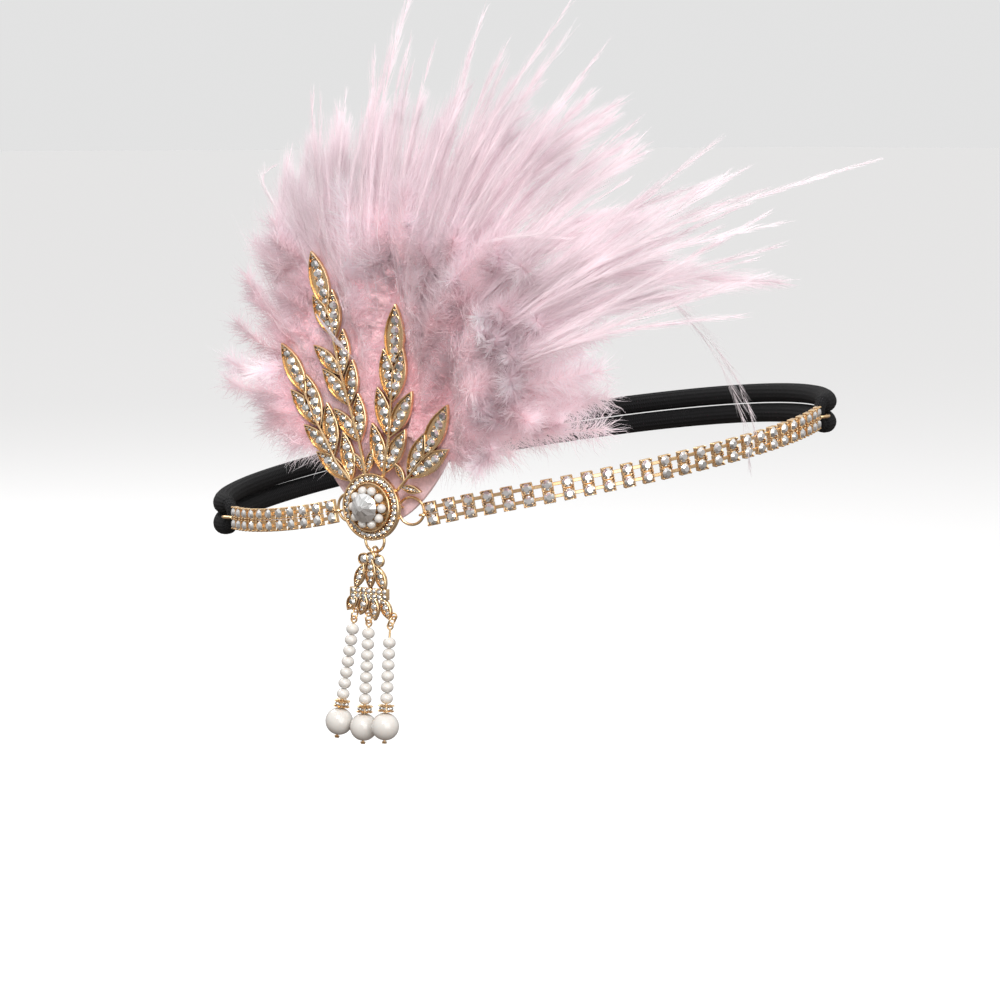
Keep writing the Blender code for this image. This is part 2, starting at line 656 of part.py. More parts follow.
def lock_shape(lean, length_share, width_share, thickness_share, rise, curl):
    """One lock of the plume: a flattened, swelling spindle that bows out and curls back."""
    length = PLUME_LENGTH * length_share
    heading = Vector((math.sin(math.radians(lean)), math.cos(math.radians(lean)), 0.0))
    across = Vector((-heading.y, heading.x, 0.0))
    root = Vector((PLUME_ROOT[0], PLUME_ROOT[1], PLUME_BACK + LOCK_ROOT_RADIUS))
    shape = bmesh.new()
    rings = []
    for step in range(LOCK_STEPS + 1):
        share = LOCK_START + (1.0 - LOCK_START) * step / LOCK_STEPS
        reach = LOCK_SWELL_FROM + (LOCK_SWELL_TO - LOCK_SWELL_FROM) * share ** LOCK_SWELL_POWER
        swell = math.sin(math.pi * reach) ** LOCK_FULLNESS
        depth = swell * thickness_share * min(1.0, LOCK_DEPTH_AT_ROOT + LOCK_DEPTH_GROWTH * share)
        half_width = max(PLUME_LOCK_WIDTH / 2 * width_share * swell, LOCK_ROOT_RADIUS)
        half_depth = max(PLUME_THICKNESS / 2 * depth, LOCK_ROOT_RADIUS)
        if step == LOCK_STEPS:
            half_width, half_depth = LOCK_TIP_RADIUS, LOCK_TIP_RADIUS
        run = length * share
        centre = root + heading * run
        centre.z += length * (rise * share + curl * share * share)
        centre.z = max(centre.z, PLUME_BACK + half_depth - max(0.0, run - LOCK_FLAT_RUN))
        ring = []
        for k in range(LOCK_SIDES):
            around = 2.0 * math.pi * k / LOCK_SIDES
            ring.append(centre + across * (half_width * math.cos(around))
                        + Vector((0.0, 0.0, half_depth * math.sin(around))))
        rings.append(ring)
    skin(shape, rings)
    return shape


def hull_prism(points, low, high, margin):
    """A prism round the convex hull of plan points, grown by a margin."""
    shape = bmesh.new()
    for point in points:
        for i in range(6):
            turn = math.pi * i / 3
            spot = Vector(point) + Vector((math.cos(turn), math.sin(turn))) * margin
            shape.verts.new((spot.x, spot.y, low))
            shape.verts.new((spot.x, spot.y, high))
    result = bmesh.ops.convex_hull(shape, input=shape.verts[:])
    spare = {item for item in result["geom_interior"] + result["geom_unused"]
             if isinstance(item, bmesh.types.BMVert)}
    bmesh.ops.delete(shape, geom=list(spare), context="VERTS")
    return shape


def make_plume(frame):
    """The feather plume: a domed backing and locks in one body, with a pocket for the spray."""
    dome = []
    for share in BACKING_SHARES:
        reach = math.sqrt(1.0 - BACKING_ROUNDING * share * share)
        dome.append((reach, PLUME_BACK + PLUME_BACKING_RISE * share))
    middle = (PLUME_ROOT[0] + BACKING_SHIFT[0], PLUME_ROOT[1] + BACKING_SHIFT[1], 0.0)
    spread = Matrix.Translation(middle) @ Matrix.Diagonal((*PLUME_BACKING, 1.0, 1.0))
    shapes = [turned(dome, BACKING_SIDES, matrix=spread)]
    shapes += [lock_shape(*row) for row in PLUME_LOCKS]
    low = SPRAY_BACK - GAP
    pocket = MEDALLION_RADIUS + POCKET_MARGIN
    cutters = [turned(((pocket, low), (pocket, POCKET_REACH)), POCKET_SIDES)]
    leaves = spray_leaves()
    for stem in STEMS:
        points = []
        for owner, base, tip, width in leaves:
            if owner == stem:
                across = Vector((-(tip - base).y, (tip - base).x)).normalized() * width / 2
                middle = base.lerp(tip, 0.5)
                points += [base, tip, middle + across, middle - across]
        cutters.append(hull_prism(points, low, POCKET_REACH, POCKET_MARGIN))
    return combine("feather_plume", shapes, "rose_feather", frame, cutters, smooth_angle=60.0)


def make_medallion(frame):
    """The turned setting with its outer rim, stone bed, pearl channel and crystal seat."""
    back = SPRAY_BACK + SPRAY_THICKNESS + GAP
    bed = back + MEDALLION_BED_RISE
    channel = pearl_level() - HALO_PEARL_RADIUS - GAP
    point = crystal_level() - CRYSTAL_PAVILION
    seat_outer = HALO_RADIUS - HALO_PEARL_RADIUS - GAP
    seat_top = pearl_level() + SEAT_RISE
    seat_inner = CRYSTAL_RADIUS * (seat_top - point) / CRYSTAL_PAVILION + SEAT_ROOM
    profile = (
        (MEDALLION_RADIUS, back), (MEDALLION_RADIUS, back + MEDALLION_RIM_RISE),
        (MEDALLION_RADIUS - MEDALLION_RIM, back + MEDALLION_RIM_RISE), (MEDALLION_RADIUS - MEDALLION_RIM, bed),
        (HALO_WALL_RADIUS, bed + BED_SLOPE), (HALO_WALL_RADIUS, back + HALO_WALL_RISE),
        (HALO_WALL_RADIUS - HALO_WALL, back + HALO_WALL_RISE), (HALO_WALL_RADIUS - HALO_WALL, channel),
        (seat_outer, channel), (seat_outer, seat_top), (seat_inner, seat_top),
        (seat_inner * SEAT_FOOT_SHARE, min(point - SEAT_ROOM, channel)),
    )
    return mesh_object("medallion_setting", turned(profile, SETTING_SEGMENTS), "gilt", frame)


def pearl_level():
    """Height of the halo pearls' centres."""
    return SPRAY_BACK + SPRAY_THICKNESS + GAP + MEDALLION_RIM_RISE + HALO_PEARL_RADIUS + REST


def crystal_level():
    """Height of the crystal's girdle, clear of the pearls below it."""
    reach = HALO_PEARL_RADIUS + GAP
    across = HALO_RADIUS - CRYSTAL_RADIUS
    return pearl_level() + math.sqrt(max(reach * reach - across * across, 0.0)) + REST


def make_crystal(frame):
    """The raised crystal: a pointed pavilion, a thin girdle, crown facets and a small table."""
    girdle = crystal_level()
    culet = CRYSTAL_PAVILION * (1.0 - CULET_RADIUS / CRYSTAL_RADIUS)
    profile = ((CULET_RADIUS, girdle - culet), (CRYSTAL_RADIUS, girdle),
               (CRYSTAL_RADIUS, girdle + CRYSTAL_GIRDLE),
               (CRYSTAL_TABLE, girdle + CRYSTAL_GIRDLE + CRYSTAL_CROWN))
    return mesh_object("centre_crystal", turned(profile, CRYSTAL_FACETS), "crystal", frame, 5.0)


def bead_profile(radius, half_height, bore, steps):
    """A round bead's outline from its lower to its upper hole."""
    start = math.asin(min(bore / radius, 1.0))
    profile = []
    for i in range(steps + 1):
        turn = start + (math.pi - 2.0 * start) * i / steps
        profile.append((radius * math.sin(turn), -half_height * math.cos(turn)))
    return profile


def make_halo_pearls(frame):
    """A ring of round pearls on the setting's channel."""
    for i in range(HALO_PEARLS):
        turn = 2.0 * math.pi * (i + 0.5) / HALO_PEARLS
        place = Matrix.Translation((HALO_RADIUS * math.sin(turn), HALO_RADIUS * math.cos(turn), pearl_level()))
        profile = bead_profile(HALO_PEARL_RADIUS, HALO_PEARL_RADIUS, HALO_BORE, 3)
        mesh_object(f"halo_pearl_{i + 1:02d}", turned(profile, BEAD_SIDES, matrix=place), "pearl", frame, 60.0)


def link_ring(name, start, end, normal_hint, wire, segments=RING_SEGMENTS):
    """A jump ring between two wires, its middle half way between them."""
    start, end = Vector(start), Vector(end)
    frame = frame_matrix((start + end) / 2, end - start, normal_hint)
    return mesh_object(name, ring_shape((end - start).length / 2, wire, segments, frame), "gilt")


def chain_start(track, ear, direction):
    """Distance along the band where the jump ring's far wire lies."""
    low, high = 0.0, 6.0 * RING_RADIUS
    for _ in range(40):
        middle = (low + high) / 2
        if (track.at(direction * middle) - ear).length < 2.0 * RING_RADIUS:
            low = middle
        else:
            high = middle
    return low


def make_band_half(side, track, ear, direction, columns):
    """A jump ring, a cup chain and an end ring on one side; gives where the elastic hooks in."""
    eye_at = chain_start(track, ear, direction)
    wire_end = track.at(direction * eye_at)
    link_ring(f"ring_{side}", ear, wire_end, (0.0, 0.0, 1.0), RING_WIRE)
    first = eye_at + EYE_RADIUS - EYE_WIRE / 2 + CUP_SIZE / 2
    near_frame = track.frame(direction * eye_at, direction) @ Matrix.Rotation(math.radians(90), 4, "X")
    last = first + (columns - 1) * COLUMN_PITCH
    far_at = last + CUP_SIZE / 2 + EYE_RADIUS - EYE_WIRE / 2
    far_frame = track.frame(direction * far_at, direction)
    near_eye = ring_shape(EYE_RADIUS, EYE_WIRE, EYE_SEGMENTS, near_frame)
    far_eye = ring_shape(EYE_RADIUS, EYE_WIRE, EYE_SEGMENTS, far_frame)
    cup_chain(f"rhinestone_band_{side}", track, direction * first, direction, columns, near_eye, far_eye)
    hook_at = far_at + 2.0 * END_RING_RADIUS
    start, end = track.at(direction * far_at), track.at(direction * hook_at)
    across = track.frame(direction * far_at, direction).to_3x3() @ Vector((0.0, 0.0, 1.0))
    link_ring(f"end_ring_{side}", start, end, across, END_RING_WIRE)
    return direction * (far_at + END_RING_RADIUS * 2.0 - END_RING_WIRE - ELASTIC_PINCH - GAP)


def make_elastic(track, front_hook, side_hook):
    """The elastic: one closed loop of two runs, pinched where it bends through the end rings."""
    total = track.runs[-1] - track.runs[0]
    reach = total - front_hook + side_hook
    bend = ELASTIC_SPREAD
    taper = 3.0 * ELASTIC_RADIUS
    steps = int(reach / ELASTIC_STEP)
    rings = []

    def station(distance, height, heading, radius):
        """One ring of the tube, at a distance past the front hook and a height off the band."""
        base = track.frame(front_hook + distance, 1.0, 3.0)
        outward = base.to_3x3() @ Vector((0.0, 0.0, 1.0))
        up = base.to_3x3() @ Vector((0.0, 1.0, 0.0))
        onward = base.to_3x3() @ Vector((1.0, 0.0, 0.0))
        near = min(distance, reach - distance)
        settle = min(1.0, max(0.0, near / taper))
        stand_off = (ELASTIC_STAND_OFF - CHAIN_STAND_OFF) * settle
        centre = base.translation + up * height + outward * stand_off
        side = onward * heading[1] * -1.0 + up * heading[0]
        return [centre + side * (radius * math.cos(2.0 * math.pi * k / ELASTIC_SIDES))
                + outward * (radius * math.sin(2.0 * math.pi * k / ELASTIC_SIDES))
                for k in range(ELASTIC_SIDES)]

    def run_radius(distance):
        near = min(distance, reach - distance)
        share = min(1.0, max(0.0, near / taper))
        return ELASTIC_PINCH + (ELASTIC_RADIUS - ELASTIC_PINCH) * math.sin(share * math.pi / 2)

    stops = [bend] + [taper * 0.6] + [taper + (reach - 2 * taper) * i / steps for i in range(steps + 1)]
    stops += [reach - taper * 0.6, reach - bend]
    for distance in stops:
        rings.append(station(distance, -bend, (1.0, 0.0), run_radius(distance)))
    for i in range(1, ELASTIC_BEND_STEPS):
        turn = math.pi * i / ELASTIC_BEND_STEPS
        rings.append(station(reach - bend + bend * math.sin(turn), -bend * math.cos(turn),
                             (math.cos(turn), math.sin(turn)), ELASTIC_PINCH))
    for distance in reversed(stops):
        rings.append(station(distance, bend, (-1.0, 0.0), run_radius(distance)))
    for i in range(1, ELASTIC_BEND_STEPS):
        turn = math.pi * i / ELASTIC_BEND_STEPS
        rings.append(station(bend - bend * math.sin(turn), bend * math.cos(turn),
                             (-math.cos(turn), -math.sin(turn)), ELASTIC_PINCH))
    shape = bmesh.new()
    skin(shape, rings, closed=True)
    return mesh_object("elastic_loop", shape, "black_elastic")


def make_drop(frame):
    """The drop: lobes, leaves, bar and petals in one plate, with a hanging eye and string eyes."""
    low = DROP_EYE_RADIUS
    high = low + DROP_THICKNESS
    eye_turn = Matrix.Rotation(math.radians(90), 4, "Y")
    bar_at = Matrix.Translation((DROP_BAR_SIDE * DROP_LENGTH, -DROP_BAR_DOWN * DROP_LENGTH, 0.0))
    shapes = [block(DROP_BAR_LENGTH, DROP_BAR_HEIGHT, low, high, bar_at)]
    shapes.append(ring_shape(DROP_EYE_RADIUS, EYE_WIRE, EYE_SEGMENTS + 2, eye_turn))
    for side, down, radius in DROP_LOBES:
        place = Matrix.Translation((side * DROP_LENGTH, -down * DROP_LENGTH, 0.0))
        lobe = ((radius * DROP_LENGTH, low), (radius * DROP_LENGTH, high - DROP_LOBE_STEP))
        shapes.append(turned(lobe, BEAD_SIDES, matrix=place))
    for base_side, base_down, tip_side, tip_down, width in DROP_LEAVES:
        base = (base_side * DROP_LENGTH, -base_down * DROP_LENGTH)
        tip = (tip_side * DROP_LENGTH, -tip_down * DROP_LENGTH)
        shapes.append(leaf(base, tip, width * DROP_LENGTH, low + DROP_LEAF_INSET, high + DROP_LEAF_RISE,
                           DROP_LEAF_RIM, DROP_LEAF_DISH))
    middle = (low + high) / 2
    for eye_side, eye_down, *_ in STRINGS:
        place = Matrix.Translation((eye_side * DROP_LENGTH, -eye_down * DROP_LENGTH, middle))
        shapes.append(ring_shape(STRING_EYE_RADIUS, STRING_EYE_WIRE, EYE_SEGMENTS, place))
    return combine("pendant_drop", shapes, "gilt", frame, smooth_angle=30.0)


def make_string(index, row, frame):
    """A tassel ring, a string of small pearls on a pin, a rondelle and a large pearl."""
    eye_side, eye_down, top_side, top_down, extra, pearls, lean_side, lean_out = row
    level = DROP_EYE_RADIUS + DROP_THICKNESS / 2
    eye = Vector((eye_side * DROP_LENGTH, -eye_down * DROP_LENGTH, level))
    top = Vector((top_side * DROP_LENGTH, -top_down * DROP_LENGTH, level))
    link = link_ring(f"tassel_ring_{index}", eye, top, (0.0, 0.0, 1.0), STRING_EYE_WIRE,
                     TASSEL_RING_SEGMENTS)
    link.parent = frame
    half_height = SMALL_PEARL_PITCH / 2
    neck = STRING_EYE_RADIUS + STRING_NECK + extra
    beads_end = neck + pearls * SMALL_PEARL_PITCH
    rondelle_at = beads_end + GAP + RONDELLE_HEIGHT / 2
    pearl_at = rondelle_at + RONDELLE_HEIGHT / 2 + GAP + LARGE_PEARL_RADIUS
    pin_end = pearl_at + LARGE_PEARL_RADIUS + GAP
    drop = math.sqrt(max(pin_end ** 2 - lean_side ** 2 - lean_out ** 2, 1.0))
    heading = Vector((lean_side, -drop, lean_out)).normalized()
    side = heading.cross(Vector((0.0, 0.0, 1.0))).normalized()
    axes = Matrix((side, heading.cross(side), heading)).transposed().to_4x4()
    hang = Matrix.Translation(top) @ axes

    profile = [(STRING_PIN, STRING_EYE_RADIUS - STRING_EYE_WIRE / 2), (STRING_PIN, neck)]
    for i in range(pearls):
        middle = neck + (i + 0.5) * SMALL_PEARL_PITCH
        profile += [(SMALL_PEARL_RADIUS * PEARL_END_SHARE, middle - half_height),
                    (SMALL_PEARL_RADIUS, middle - half_height * PEARL_FACE_SHARE),
                    (SMALL_PEARL_RADIUS, middle + half_height * PEARL_FACE_SHARE)]
    profile += [(STRING_PIN, beads_end), (STRING_PIN, pin_end), (PIN_HEAD_RADIUS, pin_end),
                (PIN_HEAD_TIP, pin_end + PIN_HEAD_LENGTH)]
    loop = ring_shape(STRING_EYE_RADIUS, STRING_EYE_WIRE, EYE_SEGMENTS,
                      hang @ Matrix.Rotation(math.radians(90), 4, "X"))
    combine(f"pearl_string_{index}", [turned(profile, BEAD_SIDES, matrix=hang), loop], "pearl", frame,
            smooth_angle=60.0)

    bore = STRING_PIN + GAP
    half = RONDELLE_HEIGHT / 2
    rim = ((bore, -half), (RONDELLE_RADIUS, -half), (RONDELLE_RADIUS, -half / 2),
           (RONDELLE_WAIST, 0.0), (RONDELLE_RADIUS, half / 2), (RONDELLE_RADIUS, half),
           (bore, half))
    place = hang @ Matrix.Translation((0.0, 0.0, rondelle_at))
    mesh_object(f"rondelle_{index}", turned(rim, LARGE_BEAD_SIDES, True, place), "gilt", frame)
    outline = bead_profile(LARGE_PEARL_RADIUS, LARGE_PEARL_RADIUS, bore, LARGE_PEARL_STEPS)
    place = hang @ Matrix.Translation((0.0, 0.0, pearl_at))
    mesh_object(f"large_pearl_{index}", turned(outline, LARGE_BEAD_SIDES, True, place), "pearl", frame, 60.0)


def make_tassel(ornament):
    """The tassel: a ring on the hub's lower ear, and the drop and strings that swing on it."""
    ear = Vector((TASSEL_SIDE, -tassel_ear_drop(), EAR_LEVEL))
    pivot = ear - Vector((0.0, 2.0 * TASSEL_RING_RADIUS, 0.0))
    ring = link_ring("pendant_ring", ear, pivot, (1.0, 0.0, 0.0), RING_WIRE)
    ring.parent = ornament
    swing = bpy.data.objects.new("pendant_axis", None)
    bpy.context.scene.collection.objects.link(swing)
    swing.parent = ornament
    swing.location = pivot * MM
    make_drop(swing)
    for index, row in enumerate(STRINGS, 1):
        make_string(index, row, swing)


def main():
    """Build every piece of the headband."""
    for thing in list(bpy.data.objects):
        bpy.data.objects.remove(thing)
    loop = HeadLoop()
    place = loop.ornament_matrix()
    ornament = bpy.data.objects.new("ornament_frame", None)
    bpy.context.scene.collection.objects.link(ornament)
    ornament.location = place.translation * MM
    ornament.rotation_euler = place.to_euler()
    make_felt_pad(ornament)
    make_plume(ornament)
    make_leaf_spray(ornament)
    make_medallion(ornament)
    make_crystal(ornament)
    make_halo_pearls(ornament)
    make_tassel(ornament)
    reach = EAR_SPREAD + 2.0 * RING_RADIUS
    track = loop.track(CHAIN_STAND_OFF, CHAIN_LIFT, reach)
    hooks = []
    for side, direction, columns in (("front", 1.0, FRONT_COLUMNS), ("side", -1.0, SIDE_COLUMNS)):
        ear = place @ Vector((direction * EAR_SPREAD, 0.0, EAR_LEVEL))
        hooks.append(make_band_half(side, track, ear, direction, columns))
    make_elastic(track, hooks[0], hooks[1])
    bpy.context.view_layer.update()


main()
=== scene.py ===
"""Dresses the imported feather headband: stones, pearls, gilt settings, knitted elastic and feathers.

World frame: +Z up, -Y the wearer's front, +X the wearer's left. Pieces of the ornament are drawn
in its own frame, x toward the front, y up and z outward, in millimetres, and are then placed.
"""

import logging
import math
from dataclasses import dataclass, field
from enum import Enum

import bmesh
import bpy
import numpy as np
from mathutils import Matrix, Vector


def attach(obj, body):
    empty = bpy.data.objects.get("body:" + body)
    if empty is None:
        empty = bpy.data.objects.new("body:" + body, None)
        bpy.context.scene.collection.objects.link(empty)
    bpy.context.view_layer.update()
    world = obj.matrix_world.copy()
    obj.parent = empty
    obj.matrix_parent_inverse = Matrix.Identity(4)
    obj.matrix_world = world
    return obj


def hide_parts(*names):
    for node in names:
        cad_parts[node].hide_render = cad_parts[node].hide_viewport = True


LOG = logging.getLogger("headband")

MM = 0.001
GAP = 0.3

# Where the ornament stands, and how it is turned about the upright
ORNAMENT_ORIGIN = (-76.418, -30.356, -5.985)
ORNAMENT_AZIMUTH = -72.0

# Places in the ornament's frame: its two side ears, its lower ear, and the wire that carries the drop
EAR_SPREAD = 7.2
EAR_LEVEL = 5.0
LOWER_EAR = (-1.2, -6.95, EAR_LEVEL)
PIVOT = (-1.2, -13.41, EAR_LEVEL)

# How a leaf's sides bulge between its tips, and the size of a prong bead
BELLY = 0.88
PRONG = 0.24

# One line of a table of sizes
Row = tuple[float, ...]

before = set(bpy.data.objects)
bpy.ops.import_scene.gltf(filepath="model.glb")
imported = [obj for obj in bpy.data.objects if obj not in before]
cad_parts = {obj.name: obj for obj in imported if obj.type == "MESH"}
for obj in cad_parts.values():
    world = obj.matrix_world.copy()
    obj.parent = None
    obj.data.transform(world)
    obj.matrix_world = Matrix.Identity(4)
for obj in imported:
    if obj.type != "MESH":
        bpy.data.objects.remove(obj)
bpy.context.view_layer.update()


class Body(Enum):
    """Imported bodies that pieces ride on."""

    HEADBAND = "headband"
    PENDANT = "pendant"


class Slot(Enum):
    """Material slots of the record."""

    GILT = "gilt"
    CRYSTAL = "crystal"
    PEARL = "pearl"
    FEATHER = "rose_feather"
    FELT = "rose_felt"
    ELASTIC = "black_elastic"


class Side(Enum):
    """The two halves of the band, by the sign of their distance from the ornament."""

    FRONT = 1.0
    SIDE = -1.0


def ornament_matrix() -> Matrix:
    """The ornament's frame in millimetres: x toward the front, y up, z outward.

    Returns:
        The frame as a matrix.
    """
    azimuth = math.radians(ORNAMENT_AZIMUTH)
    outward = Vector((math.sin(azimuth), -math.cos(azimuth), 0.0))
    along = Vector((-outward.y, outward.x, 0.0))
    turn = Matrix((along, Vector((0.0, 0.0, 1.0)), outward)).transposed().to_4x4()
    return Matrix.Translation(ORNAMENT_ORIGIN) @ turn


ORNAMENT = ornament_matrix()
WORLD = Matrix.Identity(4)


@dataclass(frozen=True)
class Finish:
    """A finish: base colour and surface of one Principled material, its slot, and the angle in
    degrees from which its edges stay sharp (nothing is smoothed at 0)."""

    name: str
    colour: tuple[float, float, float]
    slot: Slot
    smooth: float
    metallic: float = 0.0
    roughness: float = 0.5

    def material(self) -> bpy.types.Material:
        """Build the material, or give the one already built.

        Returns:
            The finish's material.
        """
        known = bpy.data.materials.get(self.name)
        if known:
            return known
        material = bpy.data.materials.new(self.name)
        material.use_nodes = True
        shader = material.node_tree.nodes["Principled BSDF"]
        shader.inputs["Base Color"].default_value = (*self.colour, 1.0)
        shader.inputs["Metallic"].default_value = self.metallic
        shader.inputs["Roughness"].default_value = self.roughness
        self.detail(material.node_tree, shader)
        return material

    def detail(self, tree: bpy.types.NodeTree, shader: bpy.types.Node) -> None:
        """Add the finish's own nodes; a plain finish has none.

        Args:
            tree: the material's nodes.
            shader: the surface shader.
        """

    @staticmethod
    def reckon(tree: bpy.types.NodeTree, operation: str, first: bpy.types.NodeSocket,
               second: bpy.types.NodeSocket | float) -> bpy.types.NodeSocket:
        """One step of arithmetic.

        Args:
            tree: the material's nodes.
            operation: the Math node's operation.
            first: a socket.
            second: a socket or a number.

        Returns:
            The result's socket.
        """
        node = tree.nodes.new("ShaderNodeMath")
        node.operation = operation
        tree.links.new(first, node.inputs[0])
        if isinstance(second, float):
            node.inputs[1].default_value = second
        else:
            tree.links.new(second, node.inputs[1])
        return node.outputs["Value"]

    @staticmethod
    def noise(tree: bpy.types.NodeTree, scale: float, detail: float = 3.0) -> bpy.types.Node:
        """A noise texture on object coordinates.

        Args:
            tree: the material's nodes.
            scale: cells per metre.
            detail: octaves.

        Returns:
            The texture node.
        """
        place = tree.nodes.new("ShaderNodeTexCoord")
        texture = tree.nodes.new("ShaderNodeTexNoise")
        texture.inputs["Scale"].default_value = scale
        texture.inputs["Detail"].default_value = detail
        tree.links.new(place.outputs["Object"], texture.inputs["Vector"])
        return texture

    @staticmethod
    def ramp(tree: bpy.types.NodeTree, source: bpy.types.NodeSocket,
             stops: tuple[tuple[float, tuple[float, float, float]], ...]) -> bpy.types.NodeSocket:
        """Colours along a value.

        Args:
            tree: the material's nodes.
            source: the value's socket.
            stops: positions with their colours.

        Returns:
            The colour socket.
        """
        node = tree.nodes.new("ShaderNodeValToRGB")
        while len(node.color_ramp.elements) < len(stops):
            node.color_ramp.elements.new(0.5)
        for element, (position, colour) in zip(node.color_ramp.elements, stops):
            element.position = position
            element.color = (*colour, 1.0)
        tree.links.new(source, node.inputs["Fac"])
        return node.outputs["Color"]

    @staticmethod
    def bump(tree: bpy.types.NodeTree, shader: bpy.types.Node, source: bpy.types.NodeSocket,
             distance: float, strength: float) -> None:
        """Raise the surface by a height socket.

        Args:
            tree: the material's nodes.
            shader: the surface shader.
            source: the height's socket.
            distance: height in metres.
            strength: share of the effect.
        """
        node = tree.nodes.new("ShaderNodeBump")
        node.inputs["Distance"].default_value = distance
        node.inputs["Strength"].default_value = strength
        tree.links.new(source, node.inputs["Height"])
        tree.links.new(node.outputs["Normal"], shader.inputs["Normal"])


@dataclass(frozen=True)
class GiltFinish(Finish):
    """Pale gold plate with slight wear, a little redder in places, and painted shade in its hollows."""

    def detail(self, tree: bpy.types.NodeTree, shader: bpy.types.Node) -> None:
        """Vary the plate's colour, polish and surface, and paint shade into its hollows.

        Args:
            tree: the material's nodes.
            shader: the surface shader.
        """
        texture = self.noise(tree, 350.0)
        warm = tuple(c * k for c, k in zip(self.colour, (0.94, 0.86, 0.76)))
        plate = self.ramp(tree, texture.outputs["Fac"], ((0.35, warm), (0.62, self.colour)))
        # Painted shade: ambient occlusion darkens the plate toward reddish brown in hollows and between
        # parts.
        hollow = tree.nodes.new("ShaderNodeAmbientOcclusion")
        hollow.samples = 4
        hollow.only_local = True
        hollow.inputs["Distance"].default_value = 0.0011
        shade = self.ramp(tree, hollow.outputs["AO"], ((0.25, (0.30, 0.15, 0.09)), (0.85, (1.0, 1.0, 1.0))))
        mix = tree.nodes.new("ShaderNodeMix")
        mix.data_type = "RGBA"
        mix.blend_type = "MULTIPLY"
        mix.inputs["Factor"].default_value = 1.0
        tree.links.new(plate, mix.inputs["A"])
        tree.links.new(shade, mix.inputs["B"])
        tree.links.new(mix.outputs["Result"], shader.inputs["Base Color"])
        polish = tree.nodes.new("ShaderNodeMapRange")
        polish.inputs["To Min"].default_value = self.roughness * 0.75
        polish.inputs["To Max"].default_value = self.roughness * 1.4
        tree.links.new(texture.outputs["Fac"], polish.inputs["Value"])
        tree.links.new(polish.outputs["Result"], shader.inputs["Roughness"])
        self.bump(tree, shader, self.noise(tree, 1600.0).outputs["Fac"], 0.00004, 0.35)


@dataclass(frozen=True)
class StoneFinish(Finish):
    """Foil-backed cut glass: each facet takes from the mesh a painted brightness that stands in for the light
    and dark it reflects.
    """

    def detail(self, tree: bpy.types.NodeTree, shader: bpy.types.Node) -> None:
        """Read each facet's tone, a painted reflection from dark to white, and lay a clear coat over it.

        Args:
            tree: the material's nodes.
            shader: the surface shader.
        """
        tone = tree.nodes.new("ShaderNodeAttribute")
        tone.attribute_name = "tone"
        # Painted reflections: each facet's tone picks a colour from near black to white, so facets look dark
        # or glinting.
        colour = self.ramp(tree, tone.outputs["Fac"], (
            (0.0, (0.10, 0.10, 0.095)), (0.30, (0.36, 0.37, 0.36)), (0.62, (0.80, 0.80, 0.79)),
            (1.0, (1.0, 1.0, 1.0))))
        tree.links.new(colour, shader.inputs["Base Color"])
        shader.inputs["Coat Weight"].default_value = 1.0
        shader.inputs["Coat Roughness"].default_value = 0.02


@dataclass(frozen=True)
class PearlFinish(Finish):
    """Warm white pearl with a soft coat and painted shade, slightly warm, darkening its rim."""

    def detail(self, tree: bpy.types.NodeTree, shader: bpy.types.Node) -> None:
        """Darken the rim with painted shade, soften the light and vary the lustre.

        Args:
            tree: the material's nodes.
            shader: the surface shader.
        """
        # Painted shade: the colour darkens toward the rim as the surface turns away from the view.
        edge = tree.nodes.new("ShaderNodeLayerWeight")
        edge.inputs["Blend"].default_value = 0.35
        rim = (self.colour[0] * 0.62, self.colour[1] * 0.58, self.colour[2] * 0.57)
        stops = ((0.0, self.colour), (0.45, self.colour), (0.95, rim))
        colour = self.ramp(tree, edge.outputs["Facing"], stops)
        tree.links.new(colour, shader.inputs["Base Color"])
        shader.inputs["Subsurface Weight"].default_value = 0.12
        shader.inputs["Subsurface Radius"].default_value = (0.002, 0.0014, 0.0012)
        shader.inputs["Coat Weight"].default_value = 1.0
        shader.inputs["Coat Roughness"].default_value = 0.09
        self.bump(tree, shader, self.noise(tree, 900.0).outputs["Fac"], 0.00002, 0.2)


@dataclass(frozen=True)
class FeatherFinish(Finish):
    """Dyed feather: colour from the mesh, sheen, and light that comes through."""

    through: float = 0.35

    def detail(self, tree: bpy.types.NodeTree, shader: bpy.types.Node) -> None:
        """Read the barb's tint and let part of the light through.

        Args:
            tree: the material's nodes.
            shader: the surface shader.
        """
        tint = tree.nodes.new("ShaderNodeAttribute")
        tint.attribute_name = "tint"
        fleck = self.noise(tree, 60.0, 2.0)
        value = tree.nodes.new("ShaderNodeMapRange")
        value.inputs["From Min"].default_value = 0.3
        value.inputs["From Max"].default_value = 0.7
        value.inputs["To Min"].default_value = 0.90
        value.inputs["To Max"].default_value = 1.06
        tree.links.new(fleck.outputs["Fac"], value.inputs["Value"])
        shade = tree.nodes.new("ShaderNodeHueSaturation")
        tree.links.new(tint.outputs["Color"], shade.inputs["Color"])
        tree.links.new(value.outputs["Result"], shade.inputs["Value"])
        tree.links.new(shade.outputs["Color"], shader.inputs["Base Color"])
        shader.inputs["Sheen Weight"].default_value = 0.25
        shader.inputs["Sheen Roughness"].default_value = 0.5
        shader.inputs["Specular IOR Level"].default_value = 0.2
        glow = tree.nodes.new("ShaderNodeBsdfTranslucent")
        tree.links.new(shade.outputs["Color"], glow.inputs["Color"])
        mix = tree.nodes.new("ShaderNodeMixShader")
        mix.inputs["Fac"].default_value = self.through
        output = tree.nodes["Material Output"]
        tree.links.new(shader.outputs["BSDF"], mix.inputs[1])
        tree.links.new(glow.outputs["BSDF"], mix.inputs[2])
        tree.links.new(mix.outputs["Shader"], output.inputs["Surface"])


